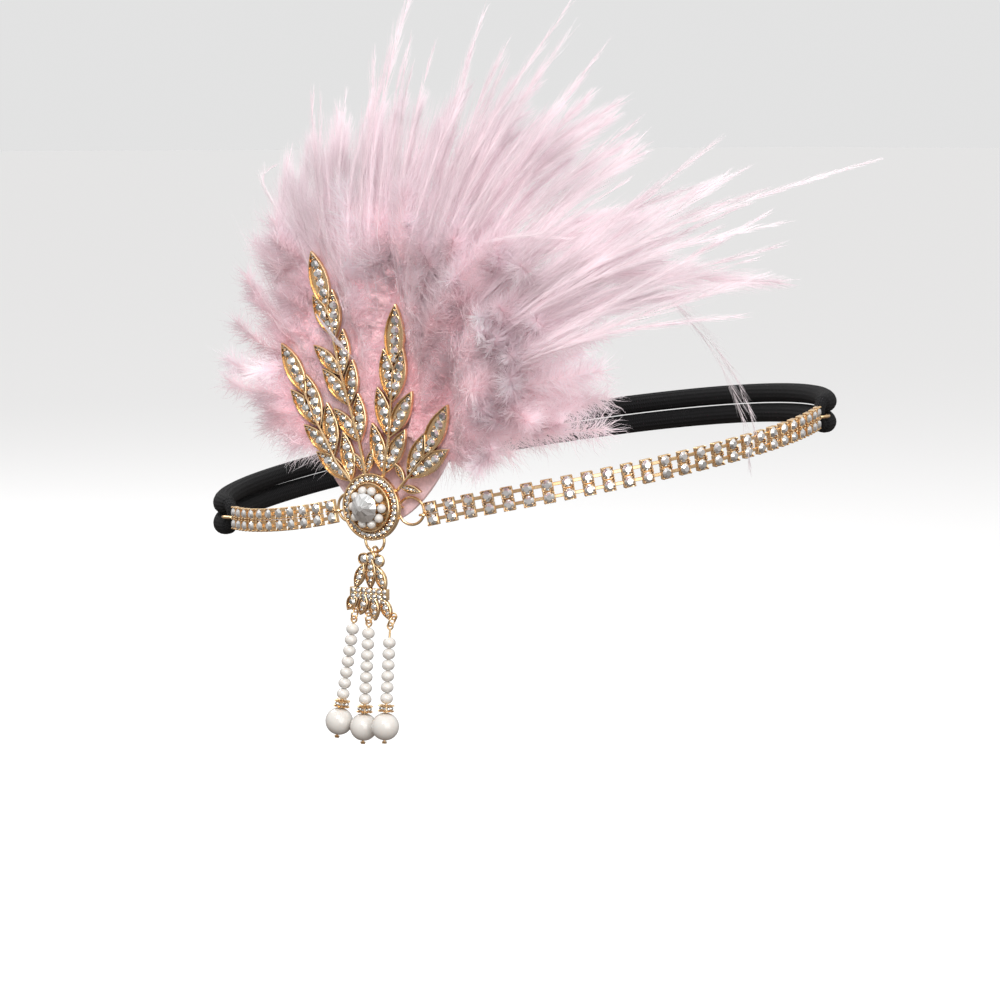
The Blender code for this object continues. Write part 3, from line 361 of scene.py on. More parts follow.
@dataclass(frozen=True)
class FeltFinish(Finish):
    """Matt felt with fine matted fibres."""

    def detail(self, tree: bpy.types.NodeTree, shader: bpy.types.Node) -> None:
        """Mottle the colour and raise the fibres.

        Args:
            tree: the material's nodes.
            shader: the surface shader.
        """
        texture = self.noise(tree, 900.0, 6.0)
        deep = tuple(c * 0.82 for c in self.colour)
        colour = self.ramp(tree, texture.outputs["Fac"], ((0.3, deep), (0.65, self.colour)))
        tree.links.new(colour, shader.inputs["Base Color"])
        shader.inputs["Sheen Weight"].default_value = 0.5
        self.bump(tree, shader, self.noise(tree, 2600.0, 4.0).outputs["Fac"], 0.00025, 0.7)


@dataclass(frozen=True)
class KnitFinish(Finish):
    """Black knitted elastic: ribs round the cord and stitches along them, their raised parts painted lighter
    as a highlight.
    """

    rib: float = 0.9
    stitch: float = 14.0

    def detail(self, tree: bpy.types.NodeTree, shader: bpy.types.Node) -> None:
        """Draw chevron stitches on the piece's own map, in millimetres along and turns around, with a painted
        highlight on their raised parts.

        Args:
            tree: the material's nodes.
            shader: the surface shader.
        """
        place = tree.nodes.new("ShaderNodeTexCoord")
        split = tree.nodes.new("ShaderNodeSeparateXYZ")
        tree.links.new(place.outputs["UV"], split.inputs["Vector"])
        turns = self.reckon(tree, "MULTIPLY", split.outputs["Y"], self.stitch)
        zigzag = self.reckon(tree, "PINGPONG", turns, 0.5)
        along = self.reckon(tree, "MULTIPLY", split.outputs["X"], 1.0 / self.rib)
        row = self.reckon(tree, "PINGPONG", self.reckon(tree, "ADD", along, zigzag), 0.5)
        height = self.reckon(tree, "ADD", row, zigzag)
        self.bump(tree, shader, height, 0.0007, 0.8)
        # Painted highlight: the stitches' raised parts are coloured lighter, and their hollows keep the dark
        # base as painted shade.
        light = tuple(min(1.0, c * 2.4) for c in self.colour)
        colour = self.ramp(tree, height, ((0.25, self.colour), (0.9, light)))
        tree.links.new(colour, shader.inputs["Base Color"])
        shader.inputs["Specular IOR Level"].default_value = 0.25


GILT = GiltFinish("gilt_plate", (0.94, 0.70, 0.42), Slot.GILT, 32.0, 1.0, 0.24)
STONE = StoneFinish("cut_stone", (0.9, 0.9, 0.9), Slot.CRYSTAL, 0.0, 0.85, 0.06)
PEARL = PearlFinish("pearl_lustre", (0.70, 0.67, 0.63), Slot.PEARL, 180.0, 0.0, 0.26)
DOWN = FeatherFinish("down_feather", (0.93, 0.70, 0.73), Slot.FEATHER, 180.0, 0.0, 0.85, 0.62)
HACKLE = FeatherFinish("hackle_feather", (0.92, 0.76, 0.79), Slot.FEATHER, 180.0, 0.0, 0.60, 0.45)
CORE = FeltFinish("plume_core", (0.95, 0.62, 0.66), Slot.FEATHER, 180.0, 0.0, 0.95)
FELT = FeltFinish("rose_felt_cloth", (0.90, 0.63, 0.66), Slot.FELT, 60.0, 0.0, 0.95)
KNIT = KnitFinish("knitted_elastic", (0.004, 0.004, 0.0045), Slot.ELASTIC, 80.0, 0.0, 0.85)


@dataclass
class Master:
    """Arrays of one modelled shape, in millimetres, ready to be copied."""

    points: np.ndarray
    faces: list[tuple[int, ...]]

    def copies(self, places: list[Matrix]) -> tuple[np.ndarray, list[tuple[int, ...]]]:
        """Copy the shape to each place.

        Args:
            places: one matrix per copy.

        Returns:
            All points, and the faces that join them.
        """
        count = len(self.points)
        points = [carried(self.points, place) for place in places]
        faces = [tuple(i + k * count for i in face) for k in range(len(places)) for face in self.faces]
        return np.vstack(points), faces


class Bench:
    """Modelling steps shared by the sub-assemblies."""

    @staticmethod
    def start() -> None:
        """Leave nothing selected and stay in object mode."""
        if bpy.context.mode != "OBJECT":
            bpy.ops.object.mode_set(mode="OBJECT")
        bpy.ops.object.select_all(action="DESELECT")

    @staticmethod
    def pick(thing: bpy.types.Object) -> None:
        """Select one object alone and make it the active one.

        Args:
            thing: the object.
        """
        Bench.start()
        bpy.context.view_layer.objects.active = thing
        thing.select_set(True)

    @staticmethod
    def put(name: str, data: bpy.types.ID) -> bpy.types.Object:
        """Put data into the scene as a new object.

        Args:
            name: the object's name.
            data: its mesh, curve, lamp or lens.

        Returns:
            The object.
        """
        thing = bpy.data.objects.new(name, data)
        bpy.context.scene.collection.objects.link(thing)
        return thing

    @staticmethod
    def edit(thing: bpy.types.Object) -> bmesh.types.BMesh:
        """Enter edit mode on one object.

        Args:
            thing: the object.

        Returns:
            Its edit mesh.
        """
        Bench.pick(thing)
        bpy.ops.object.mode_set(mode="EDIT")
        return bmesh.from_edit_mesh(thing.data)

    @staticmethod
    def modify(thing: bpy.types.Object, kind: str, **settings: float | int | str | bool) -> None:
        """Add a modifier and apply it.

        Args:
            thing: the object.
            kind: the modifier's type.
            settings: its properties.
        """
        Bench.pick(thing)
        step = thing.modifiers.new(kind.lower(), kind)
        for key, value in settings.items():
            setattr(step, key, value)
        bpy.ops.object.modifier_apply(modifier=step.name)

    @staticmethod
    def take(thing: bpy.types.Object) -> Master:
        """Read an object's mesh as a master and remove the object.

        Args:
            thing: the object.

        Returns:
            The master shape.
        """
        Bench.start()
        matrix = thing.matrix_world
        points = np.array([matrix @ v.co for v in thing.data.vertices])
        faces = [tuple(p.vertices) for p in thing.data.polygons]
        bpy.data.objects.remove(thing)
        return Master(points, faces)

    @staticmethod
    def select_level(shape: bmesh.types.BMesh, thing: bpy.types.Object, level: float) -> None:
        """Select only the faces that lie at a height and look along z.

        Args:
            shape: the edit mesh.
            thing: its object.
            level: the height.
        """
        for face in shape.faces:
            face.select_set(False)
        for face in shape.faces:
            if abs(face.calc_center_median().z - level) < 0.01 and abs(face.normal.z) > 0.9:
                face.select_set(True)
        bmesh.update_edit_mesh(thing.data)

    @staticmethod
    def close() -> None:
        """Turn every face of the edited shape outward."""
        bpy.ops.mesh.select_all(action="SELECT")
        bpy.ops.mesh.normals_make_consistent(inside=False)

    @staticmethod
    def extrude(height: float) -> None:
        """Extrude what is selected along z."""
        bpy.ops.mesh.extrude_region_move(TRANSFORM_OT_translate={"value": (0.0, 0.0, height)})

    @staticmethod
    def lathe(profile: list[tuple[float, float]], steps: int) -> Master:
        """Spin an outline of (radius, height) pairs about z into a closed shape.

        Args:
            profile: the outline, from axis to axis or closed on itself.
            steps: sides of the turned shape.

        Returns:
            The turned shape.
        """
        Bench.start()
        mesh = bpy.data.meshes.new("outline")
        closed = profile[0][0] > 1e-6 and profile[-1][0] > 1e-6
        edges = [(i, i + 1) for i in range(len(profile) - 1)]
        if closed:
            edges.append((len(profile) - 1, 0))
        mesh.from_pydata([(r, 0.0, z) for r, z in profile], edges, [])
        thing = Bench.put("outline", mesh)
        Bench.edit(thing)
        bpy.ops.mesh.select_all(action="SELECT")
        bpy.ops.mesh.spin(steps=steps, angle=math.tau, center=(0, 0, 0), axis=(0, 0, 1))
        bpy.ops.mesh.select_all(action="SELECT")
        bpy.ops.mesh.remove_doubles(threshold=0.0005)
        Bench.close()
        return Bench.take(thing)


class Shapes:
    """Master shapes, each modelled once."""

    @staticmethod
    def stone(sides: int = 16, table: float = 0.52, crown: float = 0.42) -> Master:
        """A round cut stone of radius 1: girdle, crown facets and table.

        Args:
            sides: crown facets round it.
            table: radius of its table.
            crown: height of its crown.

        Returns:
            The stone, about its girdle.
        """
        girdle = 0.12
        Bench.start()
        bpy.ops.mesh.primitive_cylinder_add(vertices=sides, radius=1.0, depth=girdle)
        thing = bpy.context.active_object
        shape = Bench.edit(thing)
        Bench.select_level(shape, thing, girdle / 2.0)
        Bench.extrude(crown)
        bpy.ops.transform.resize(value=(table, table, 1.0), center_override=(0.0, 0.0, 0.0))
        Bench.close()
        return Bench.take(thing)

    @staticmethod
    def brilliant(crown: float, girdle: float, pavilion: float, table: float) -> Master:
        """A pointed crystal of radius 1 with two rows of crown facets.

        Args:
            crown: height of its crown.
            girdle: height of its girdle.
            pavilion: depth below the girdle.
            table: radius of its top.

        Returns:
            The crystal, with the girdle's top at 0.
        """
        culet, swell = 0.06, 1.10
        Bench.start()
        bpy.ops.mesh.primitive_cone_add(vertices=16, radius1=1.0, radius2=table, depth=crown,
                                        location=(0.0, 0.0, crown / 2.0))
        thing = bpy.context.active_object
        bpy.ops.object.transform_apply(location=True, rotation=True, scale=True)
        shape = Bench.edit(thing)
        Bench.select_level(shape, thing, 0.0)
        Bench.extrude(-girdle)
        Bench.extrude(-pavilion)
        bpy.ops.transform.resize(value=(culet, culet, 1.0), center_override=(0.0, 0.0, 0.0))
        shape = Bench.edit(thing)
        walls = [e for e in shape.edges if abs(e.verts[0].co.z - e.verts[1].co.z) > crown * 0.9
                 and min(v.co.z for v in e.verts) > -0.001]
        cut = bmesh.ops.bisect_edges(shape, edges=walls, cuts=1)
        rows = sorted({v for v in cut["geom_split"] if isinstance(v, bmesh.types.BMVert)},
                      key=lambda v: math.atan2(v.co.y, v.co.x))
        for vert in rows[1::2]:
            vert.co.x *= swell
            vert.co.y *= swell
        bmesh.update_edit_mesh(thing.data)
        bpy.ops.mesh.select_all(action="SELECT")
        bpy.ops.mesh.quads_convert_to_tris(quad_method="BEAUTY", ngon_method="BEAUTY")
        bpy.ops.mesh.normals_make_consistent(inside=False)
        return Bench.take(thing)

    @staticmethod
    def bead(segments: int = 20, rings: int = 12) -> Master:
        """A round bead of radius 1.

        Args:
            segments: sides round it.
            rings: rows from pole to pole.

        Returns:
            The bead.
        """
        Bench.start()
        bpy.ops.mesh.primitive_uv_sphere_add(segments=segments, ring_count=rings, radius=1.0)
        return Bench.take(bpy.context.active_object)

    @staticmethod
    def grain() -> Master:
        """A tiny prong bead of radius 1.

        Returns:
            The bead, in a few dozen faces.
        """
        Bench.start()
        bpy.ops.mesh.primitive_ico_sphere_add(subdivisions=1, radius=1.0)
        return Bench.take(bpy.context.active_object)

    @staticmethod
    def ring(radius: float, wire: float, segments: int = 36, sides: int = 10) -> Master:
        """A wire ring about z.

        Args:
            radius: of the wire's middle line.
            wire: the wire's own radius.
            segments: steps round the ring.
            sides: steps round the wire.

        Returns:
            The ring.
        """
        Bench.start()
        bpy.ops.mesh.primitive_torus_add(major_radius=radius, minor_radius=wire,
                                         major_segments=segments, minor_segments=sides)
        return Bench.take(bpy.context.active_object)

    @staticmethod
    def cube(size: tuple[float, float, float]) -> bpy.types.Object:
        """A plain block, the start of a block or a cup.

        Args:
            size: its three sides.

        Returns:
            The object.
        """
        Bench.start()
        bpy.ops.mesh.primitive_cube_add(size=1.0)
        thing = bpy.context.active_object
        thing.scale = size
        bpy.ops.object.transform_apply(location=True, rotation=True, scale=True)
        return thing

    @staticmethod
    def block(size: tuple[float, float, float], bevel: float, segments: int = 1) -> Master:
        """A bevelled block about its middle.

        Args:
            size: its three sides.
            bevel: width of its rounded edges.
            segments: steps of the rounding.

        Returns:
            The block.
        """
        thing = Shapes.cube(size)
        Bench.modify(thing, "BEVEL", width=bevel, segments=segments)
        return Bench.take(thing)

    @staticmethod
    def cup(size: float, depth: float, wall: float, hollow: float) -> Master:
        """A square cup, open in front, with rounded edges.

        Args:
            size: its side.
            depth: from front to back.
            wall: thickness of its wall.
            hollow: how deep it is.

        Returns:
            The cup, about its middle.
        """
        thing = Shapes.cube((size, size, depth))
        shape = Bench.edit(thing)
        Bench.select_level(shape, thing, depth / 2.0)
        bpy.ops.mesh.inset(thickness=wall)
        Bench.extrude(-hollow)
        Bench.modify(thing, "BEVEL", width=0.14, segments=1, limit_method="ANGLE")
        return Bench.take(thing)

    @staticmethod
    def leaf(length: float, width: float, rim: float, thickness: float, dish: float) -> Master:
        """A pointed leaf from the origin along y: raised rim, sunk bed, softened edges.

        Args:
            length: tip to tip.
            width: across the middle.
            rim: width of the raised edge.
            thickness: of the plate.
            dish: how far the bed is sunk.

        Returns:
            The leaf, with its top at the plate's thickness.
        """
        Bench.start()
        count = 24
        bpy.ops.mesh.primitive_circle_add(vertices=count, radius=1.0, fill_type="NGON")
        thing = bpy.context.active_object
        shape = Bench.edit(thing)
        for vert in shape.verts:
            turn = math.atan2(vert.co.x, vert.co.y)
            share = (1.0 - math.cos(turn)) / 2.0
            half = width / 2.0 * math.sin(math.pi * share) ** BELLY
            vert.co.x = math.copysign(half, math.sin(turn)) if 0.001 < share < 0.999 else 0.0
            vert.co.y = length * (1.0 - share)
        for face in shape.faces:
            face.select_set(True)
        bmesh.update_edit_mesh(thing.data)
        Bench.extrude(thickness)
        rim = min(rim, 0.21 * width)
        point = 1.9 * rim
        inside = 0.0
        for share, rise in ((0.3, 0.3 * rim), (0.75, 0.0), (1.0, -dish)):
            across = (width / 2.0 - share * rim) / (width / 2.0 - inside * rim)
            lengthwise = (length / 2.0 - share * point) / (length / 2.0 - inside * point)
            Bench.extrude(rise)
            middle = (0.0, length / 2.0, 0.0)
            bpy.ops.transform.resize(value=(across, lengthwise, 1.0), center_override=middle)
            inside = share
        Bench.close()
        return Bench.take(thing)


@dataclass
class Heap:
    """Copies that are joined into one finished piece."""

    name: str
    finish: Finish
    body: Body = Body.HEADBAND
    place: Matrix = field(default_factory=lambda: ORNAMENT.copy())
    points: list[np.ndarray] = field(default_factory=list)
    faces: list[tuple[int, ...]] = field(default_factory=list)
    count: int = 0

    def add(self, master: Master, *places: Matrix) -> None:
        """Add a copy of a master at each place, or one where it was modelled.

        Args:
            master: the shape.
            places: matrices in the heap's own frame.
        """
        points, faces = master.copies(list(places) or [WORLD])
        self.faces += [tuple(i + self.count for i in face) for face in faces]
        self.points.append(points)
        self.count += len(points)

    def finished(self, *replaced: str) -> bpy.types.Object:
        """Make the piece, dress it and set it on its body.

        Args:
            replaced: nodes that it stands for.

        Returns:
            The finished object.
        """
        points = carried(np.vstack(self.points), self.place) * MM
        mesh = bpy.data.meshes.new(self.name)
        mesh.from_pydata(points.tolist(), [], self.faces)
        thing = Bench.put(self.name, mesh)
        return dress(thing, self.finish, self.body, *replaced)


def dress(thing: bpy.types.Object, finish: Finish, body: Body, *replaced: str) -> bpy.types.Object:
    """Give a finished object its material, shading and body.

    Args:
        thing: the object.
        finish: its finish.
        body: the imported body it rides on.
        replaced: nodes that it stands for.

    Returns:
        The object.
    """
    thing.data.materials.clear()
    thing.data.materials.append(finish.material())
    if finish.smooth > 0.0:
        thing.data.shade_smooth()
        thing.data.set_sharp_from_angle(angle=math.radians(finish.smooth))
    if isinstance(finish, StoneFinish):
        # Painted reflections: a random tone per facet makes some facets glint and others dark; the centre
        # crystal and chain stones are kept lighter.
        rng = np.random.default_rng(len(thing.data.polygons))
        tone = thing.data.attributes.new("tone", "FLOAT", "FACE")
        darkest = 0.35 if "centre_crystal" in replaced or "chain" in thing.name else 0.08
        tone.data.foreach_set("value", rng.uniform(darkest, 1.0, len(thing.data.polygons)) ** 0.75)
    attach(thing, body.value)
    if replaced:
        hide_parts(*replaced)
    LOG.info("%s: %d faces, on %s", thing.name, len(thing.data.polygons), body.value)
    return thing


def frame_matrix(origin: Vector, along: Vector, up: Vector) -> Matrix:
    """Axes x along, y as near up as it can be, z their cross product.

    Args:
        origin: the frame's origin.
        along: direction of x.
        up: direction that y leans to.

    Returns:
        The frame as a matrix.
    """
    x_axis = Vector(along).normalized()
    z_axis = x_axis.cross(Vector(up)).normalized()
    y_axis = z_axis.cross(x_axis)
    return Matrix.Translation(Vector(origin)) @ Matrix((x_axis, y_axis, z_axis)).transposed().to_4x4()


def hull_of(points: list[tuple[float, float]]) -> np.ndarray:
    """The convex hull of plan points.

    Args:
        points: the points, in any order.

    Returns:
        Its corners, counter-clockwise.
    """

    def chain(run: list[tuple[float, float]]) -> list[tuple[float, float]]:
        """One side of the hull.

        Args:
            run: the points, sorted along it.

        Returns:
            Its corners without the last.
        """
        kept: list[tuple[float, float]] = []
        for x, y in run:
            while len(kept) > 1 and ((kept[-1][0] - kept[-2][0]) * (y - kept[-2][1])
                                     - (kept[-1][1] - kept[-2][1]) * (x - kept[-2][0])) <= 0.0:
                kept.pop()
            kept.append((x, y))
        return kept[:-1]

    ordered = sorted(points)
    return np.array(chain(ordered) + chain(ordered[::-1]))


def scaled(x: float, y: float | None = None, z: float | None = None) -> Matrix:
    """A scale matrix, even where only one factor is given."""
    return Matrix.Diagonal((x, x if y is None else y, x if z is None else z, 1.0))


def moved(x: float, y: float, z: float) -> Matrix:
    """A translation matrix."""
    return Matrix.Translation((x, y, z))


def turned(degrees: float, axis: str) -> Matrix:
    """A rotation matrix about a named axis."""
    return Matrix.Rotation(math.radians(degrees), 4, axis)


def carried(points: np.ndarray, matrix: Matrix) -> np.ndarray:
    """Points moved by a matrix."""
    return np.hstack([points, np.ones((len(points), 1))]) @ np.array(matrix).T[:, :3]


def around(radius: float, turn: float, height: float) -> Matrix:
    """A place on a circle about z, its turn counted from y, in radians."""
    return moved(radius * math.sin(turn), radius * math.cos(turn), height)


@dataclass
class HeadLoop:
    """The line that the band follows round the head, measured from the ornament's foot."""

    half_width: float = 85.8
    half_length: float = 94.4
    side_slope: float = 0.147
    front_slope: float = -0.107
    dent: float = 4.6
    dent_spread: float = 37.0
    step: float = 0.5
    stand_off: float = 1.3
    lift: float = 3.2
    lift_spread: float = 40.0
    front_sag: float = -1.7
    side_sag: float = 2.3
    sag_fade: float = 20.0
    first_reach: float = 15.06

    def __post_init__(self) -> None:
        """Lay out the points of the line and their distances."""
        azimuth = math.radians(ORNAMENT_AZIMUTH)
        foot = math.atan2(self.half_width * math.sin(azimuth), self.half_length * math.cos(azimuth))
        steps = int(math.pi * (self.half_width + self.half_length) / self.step)
        turns = [foot + math.pi * (2.0 * i / steps - 1.0) for i in range(steps + 1)]
        plan = [self.plan_point(turn) for turn in turns]
        self.points = [self.band_point(turn, run) for turn, run in zip(turns, self.runs_of(plan))]
        self.runs = self.runs_of(self.points)
        self.total = self.runs[-1] - self.runs[0]

    def plan_point(self, turn: float) -> Vector:
        """A point of the plan ellipse."""
        return Vector((self.half_width * math.sin(turn), -self.half_length * math.cos(turn), 0.0))

    def band_point(self, turn: float, run: float) -> Vector:
        """A point of the band's own line.

        Args:
            turn: turn on the plan ellipse.
            run: distance along it from the ornament's foot.

        Returns:
            The point in millimetres.
        """
        outward = Vector((math.sin(turn) / self.half_width, -math.cos(turn) / self.half_length, 0.0))
        rise = self.lift * math.exp(-((run / self.lift_spread) ** 2))
        dent = self.dent * math.exp(-((run / self.dent_spread) ** 2))
        point = self.plan_point(turn) + outward.normalized() * (self.stand_off + rise - dent)
        point.z = self.side_slope * point.x + self.front_slope * point.y
        sag = self.front_sag if run > 0.0 else self.side_sag
        fade = math.exp(-max(abs(run) - self.first_reach, 0.0) / self.sag_fade)
        point.z += sag * fade * min(1.0, abs(run) / self.first_reach)
        return point

    @staticmethod
    def runs_of(points: list[Vector]) -> list[float]:
        """Distances along a run of points, zero at its middle.

        Args:
            points: the run.

        Returns:
            One distance per point.
        """
        runs = [0.0]
        for a, b in zip(points, points[1:]):
            runs.append(runs[-1] + (b - a).length)
        middle = runs[len(runs) // 2]
        return [run - middle for run in runs]

    def at(self, distance: float) -> Vector:
        """The point at a signed distance.

        Args:
            distance: from the ornament's foot, positive toward the front.

        Returns:
            The point in millimetres.
        """
        distance = (distance - self.runs[0]) % self.total + self.runs[0]
        index = min(int(np.searchsorted(self.runs, distance)), len(self.runs) - 1)
        low = max(index - 1, 0)
        span = self.runs[index] - self.runs[low] or 1.0
        return self.points[low].lerp(self.points[index], (distance - self.runs[low]) / span)

    def frame(self, distance: float, reach: float = 1.0) -> Matrix:
        """Axes at a distance: x toward growing distance, y up the band, z outward."""
        return frame_matrix(self.at(distance), self.at(distance + reach) - self.at(distance - reach),
                            Vector((0.0, 0.0, 1.0)))


@dataclass
class Band:
    """Cup chains, jump rings, end rings and the elastic loop."""

    loop: HeadLoop = field(default_factory=HeadLoop)
    cup: float = 3.5
    depth: float = 1.5
    pitch: float = 5.8
    cup_wall: float = 0.3
    cup_hollow: float = 0.45
    bar: tuple[float, float] = (1.0, 0.6)
    bar_overlap: float = 0.4
    prong: tuple[float, float, float] = (0.36, 0.36, 0.52)
    prong_inset: float = 0.33
    stone: float = 1.52
    stone_height: float = 1.55
    columns: dict[Side, int] = field(default_factory=lambda: {Side.FRONT: 26, Side.SIDE: 11})
    ring_radius: float = 3.93
    ring_wire: float = 0.42
    eye_wire: float = 0.35
    end_wire: float = 0.45
    elastic: float = 3.0
    pinch: float = 1.7
    spread: float = 3.15
    elastic_stand_off: float = 3.2
    sides: int = 20
    step: float = 2.5

    def __post_init__(self) -> None:
        """Work out the sizes that follow from others."""
        room = GAP + 0.08
        self.eye_radius = self.ring_wire + room + self.eye_wire
        self.end_radius = (self.eye_radius + self.eye_wire + self.end_wire) / 2.0 + self.pinch + room

    def ring_end(self, ear: Vector, sign: float) -> float:
        """Distance along the band where the jump ring's far wire lies.

        Args:
            ear: the ornament's ear in the world.
            sign: which way along the band.

        Returns:
            The distance.
        """
        low, high = 0.0, 6.0 * self.ring_radius
        for _ in range(40):
            middle = (low + high) / 2.0
            if (self.loop.at(sign * middle) - ear).length < 2.0 * self.ring_radius:
                low = middle
            else:
                high = middle
        return low

    def link(self, name: str, start: Vector, end: Vector, hint: Vector, wire: float) -> None:
        """Make a jump ring between two wires.

        Args:
            name: the piece's and the node's name.
            start: one wire's middle.
            end: the other's.
            hint: direction that the ring's plane leans to.
            wire: its wire's radius.
        """
        heap = Heap(name + "_wire", GILT, place=WORLD)
        heap.add(Shapes.ring((end - start).length / 2.0, wire),
                 frame_matrix((start + end) / 2.0, end - start, hint))
        heap.finished(name)

    def half(self, side: Side) -> float:
        """Build one half of the band.

        Args:
            side: which half.

        Returns:
            The distance where the elastic's bend sits in the end ring.
        """
        sign, label = side.value, side.name.lower()
        up = Vector((0.0, 0.0, 1.0))
        ear = ORNAMENT @ Vector((sign * EAR_SPREAD, 0.0, EAR_LEVEL))
        eye_at = self.ring_end(ear, sign)
        self.link(f"ring_{label}", ear, self.loop.at(sign * eye_at), up, self.ring_wire)
        first = eye_at + self.eye_radius - self.eye_wire / 2.0 + self.cup / 2.0
        last = first + (self.columns[side] - 1) * self.pitch
        far_at = last + self.cup / 2.0 + self.eye_radius - self.eye_wire / 2.0
        metal = Heap(f"cup_chain_{label}", GILT, place=WORLD)
        stones = Heap(f"chain_stones_{label}", STONE, place=WORLD)
        rows = (-self.cup / 2.0, self.cup / 2.0)
        cups, bars, prongs, gems = [], [], [], []
        for column in range(self.columns[side]):
            place = self.loop.frame(sign * (first + column * self.pitch))
            cups += [place @ moved(0.0, row, 0.0) for row in rows]
        for column in range(self.columns[side] - 1):
            place = self.loop.frame(sign * (first + (column + 0.5) * self.pitch))
            bars += [place @ moved(0.0, row, 0.0) for row in rows]
        corner = self.cup / 2.0 - self.prong_inset
        for i, place in enumerate(cups):
            gems.append(place @ moved(0.0, 0.0, self.depth / 2.0 - 0.05) @ turned(11.0 * i, "Z")
                        @ scaled(self.stone, self.stone, self.stone_height))
            prongs += [place @ moved(x, y, self.depth / 2.0 + 0.12) @ scaled(*self.prong)
                       for x in (-corner, corner) for y in (-corner, corner)]
        metal.add(Shapes.cup(self.cup - 0.08, self.depth, self.cup_wall, self.cup_hollow), *cups)
        metal.add(Shapes.grain(), *prongs)
        metal.add(Shapes.block((self.pitch - self.cup + self.bar_overlap, *self.bar), 0.14), *bars)
        near = self.loop.frame(sign * eye_at) @ turned(90.0, "X")
        metal.add(Shapes.ring(self.eye_radius, self.eye_wire, 20, 8), near, self.loop.frame(sign * far_at))
        metal.finished(f"rhinestone_band_{label}")
        stones.add(Shapes.stone(), *gems)
        stones.finished()
        hook_at = far_at + 2.0 * self.end_radius
        hold = self.end_wire + self.pinch + GAP
        across = self.loop.frame(sign * far_at).to_3x3() @ Vector((0.0, 0.0, 1.0))
        self.link(f"end_ring_{label}", self.loop.at(sign * far_at), self.loop.at(sign * hook_at), across,
                  self.end_wire)
        return sign * (hook_at - hold)

    def elastic_rings(self, front_hook: float,
                      side_hook: float) -> list[tuple[Vector, Vector, Vector, float]]:
        """Stations of the elastic loop, down one run and back up the other.

        Args:
            front_hook: distance of its bend in the front end ring.
            side_hook: distance of its bend in the side end ring.

        Returns:
            The centre, the two axes of the section and its radius at each station.
        """
        reach = self.loop.total - front_hook + side_hook
        taper = 3.0 * self.elastic
        bend, bend_steps = self.spread, 12
        stations = []

        def free(distance: float) -> float:
            """How far the cord has left its hook, from 0 to 1."""
            return min(1.0, max(0.0, min(distance, reach - distance) / taper))

        def radius_at(distance: float) -> float:
            """The cord's radius, pinched at both hooks."""
            return self.pinch + (self.elastic - self.pinch) * math.sin(free(distance) * math.pi / 2.0)

        def station(distance: float, height: float, heading: tuple[float, float], radius: float) -> None:
            """Add a station.

            Args:
                distance: along the head from the front hook.
                height: up the band.
                heading: the section's own side, as parts up and onward.
                radius: of the cord.
            """
            base = self.loop.frame(front_hook + distance, 3.0)
            onward, up, outward = (base.to_3x3() @ Vector(axis) for axis in ((1, 0, 0), (0, 1, 0), (0, 0, 1)))
            stand_off = (self.elastic_stand_off - self.loop.stand_off) * free(distance)
            centre = base.translation + up * height + outward * stand_off
            stations.append((centre, up * heading[0] - onward * heading[1], outward, radius))

        count = int((reach - 2.0 * bend) / self.step)
        stops = [bend + (reach - 2.0 * bend) * i / count for i in range(count + 1)]
        for sign, run, last in ((1.0, stops, reach - bend), (-1.0, stops[::-1], bend)):
            for distance in run:
                station(distance, -sign * bend, (sign, 0.0), radius_at(distance))
            for i in range(1, bend_steps):
                turn = math.pi * i / bend_steps
                station(last + sign * bend * math.sin(turn), -sign * bend * math.cos(turn),
                        (sign * math.cos(turn), sign * math.sin(turn)), self.pinch)
        return stations

    def make_elastic(self, front_hook: float, side_hook: float) -> None:
        """Sweep the knitted loop, with its map in millimetres along and turns around.

        Args:
            front_hook: distance of its bend in the front end ring.
            side_hook: distance of its bend in the side end ring.
        """
        stations = self.elastic_rings(front_hook, side_hook)
        points, faces, maps = [], [], []
        along = [0.0]
        for (a, *_), (b, *_) in zip(stations, stations[1:] + stations[:1]):
            along.append(along[-1] + (b - a).length)
        for centre, side, outward, radius in stations:
            for k in range(self.sides):
                turn = math.tau * k / self.sides
                offset = side * (radius * math.cos(turn)) + outward * (radius * math.sin(turn))
                points.append((centre + offset) * MM)
        for i in range(len(stations)):
            j = (i + 1) % len(stations)
            for k in range(self.sides):
                m = (k + 1) % self.sides
                faces.append((i * self.sides + k, j * self.sides + k, j * self.sides + m, i * self.sides + m))
                low, high = k / self.sides, (k + 1) / self.sides
                maps += [(along[i], low), (along[i + 1], low), (along[i + 1], high), (along[i], high)]
        mesh = bpy.data.meshes.new("knitted_loop")
        mesh.from_pydata(points, [], faces)
        layer = mesh.uv_layers.new(name="UVMap")
        layer.data.foreach_set("uv", np.array(maps, dtype=np.float32).ravel())
        thing = Bench.put("knitted_loop", mesh)
        Bench.edit(thing)
        Bench.close()
        Bench.start()
        dress(thing, KNIT, Body.HEADBAND, "elastic_loop")

    def build(self) -> None:
        """Build the whole band."""
        hooks = {side: self.half(side) for side in Side}
        self.make_elastic(hooks[Side.FRONT], hooks[Side.SIDE])


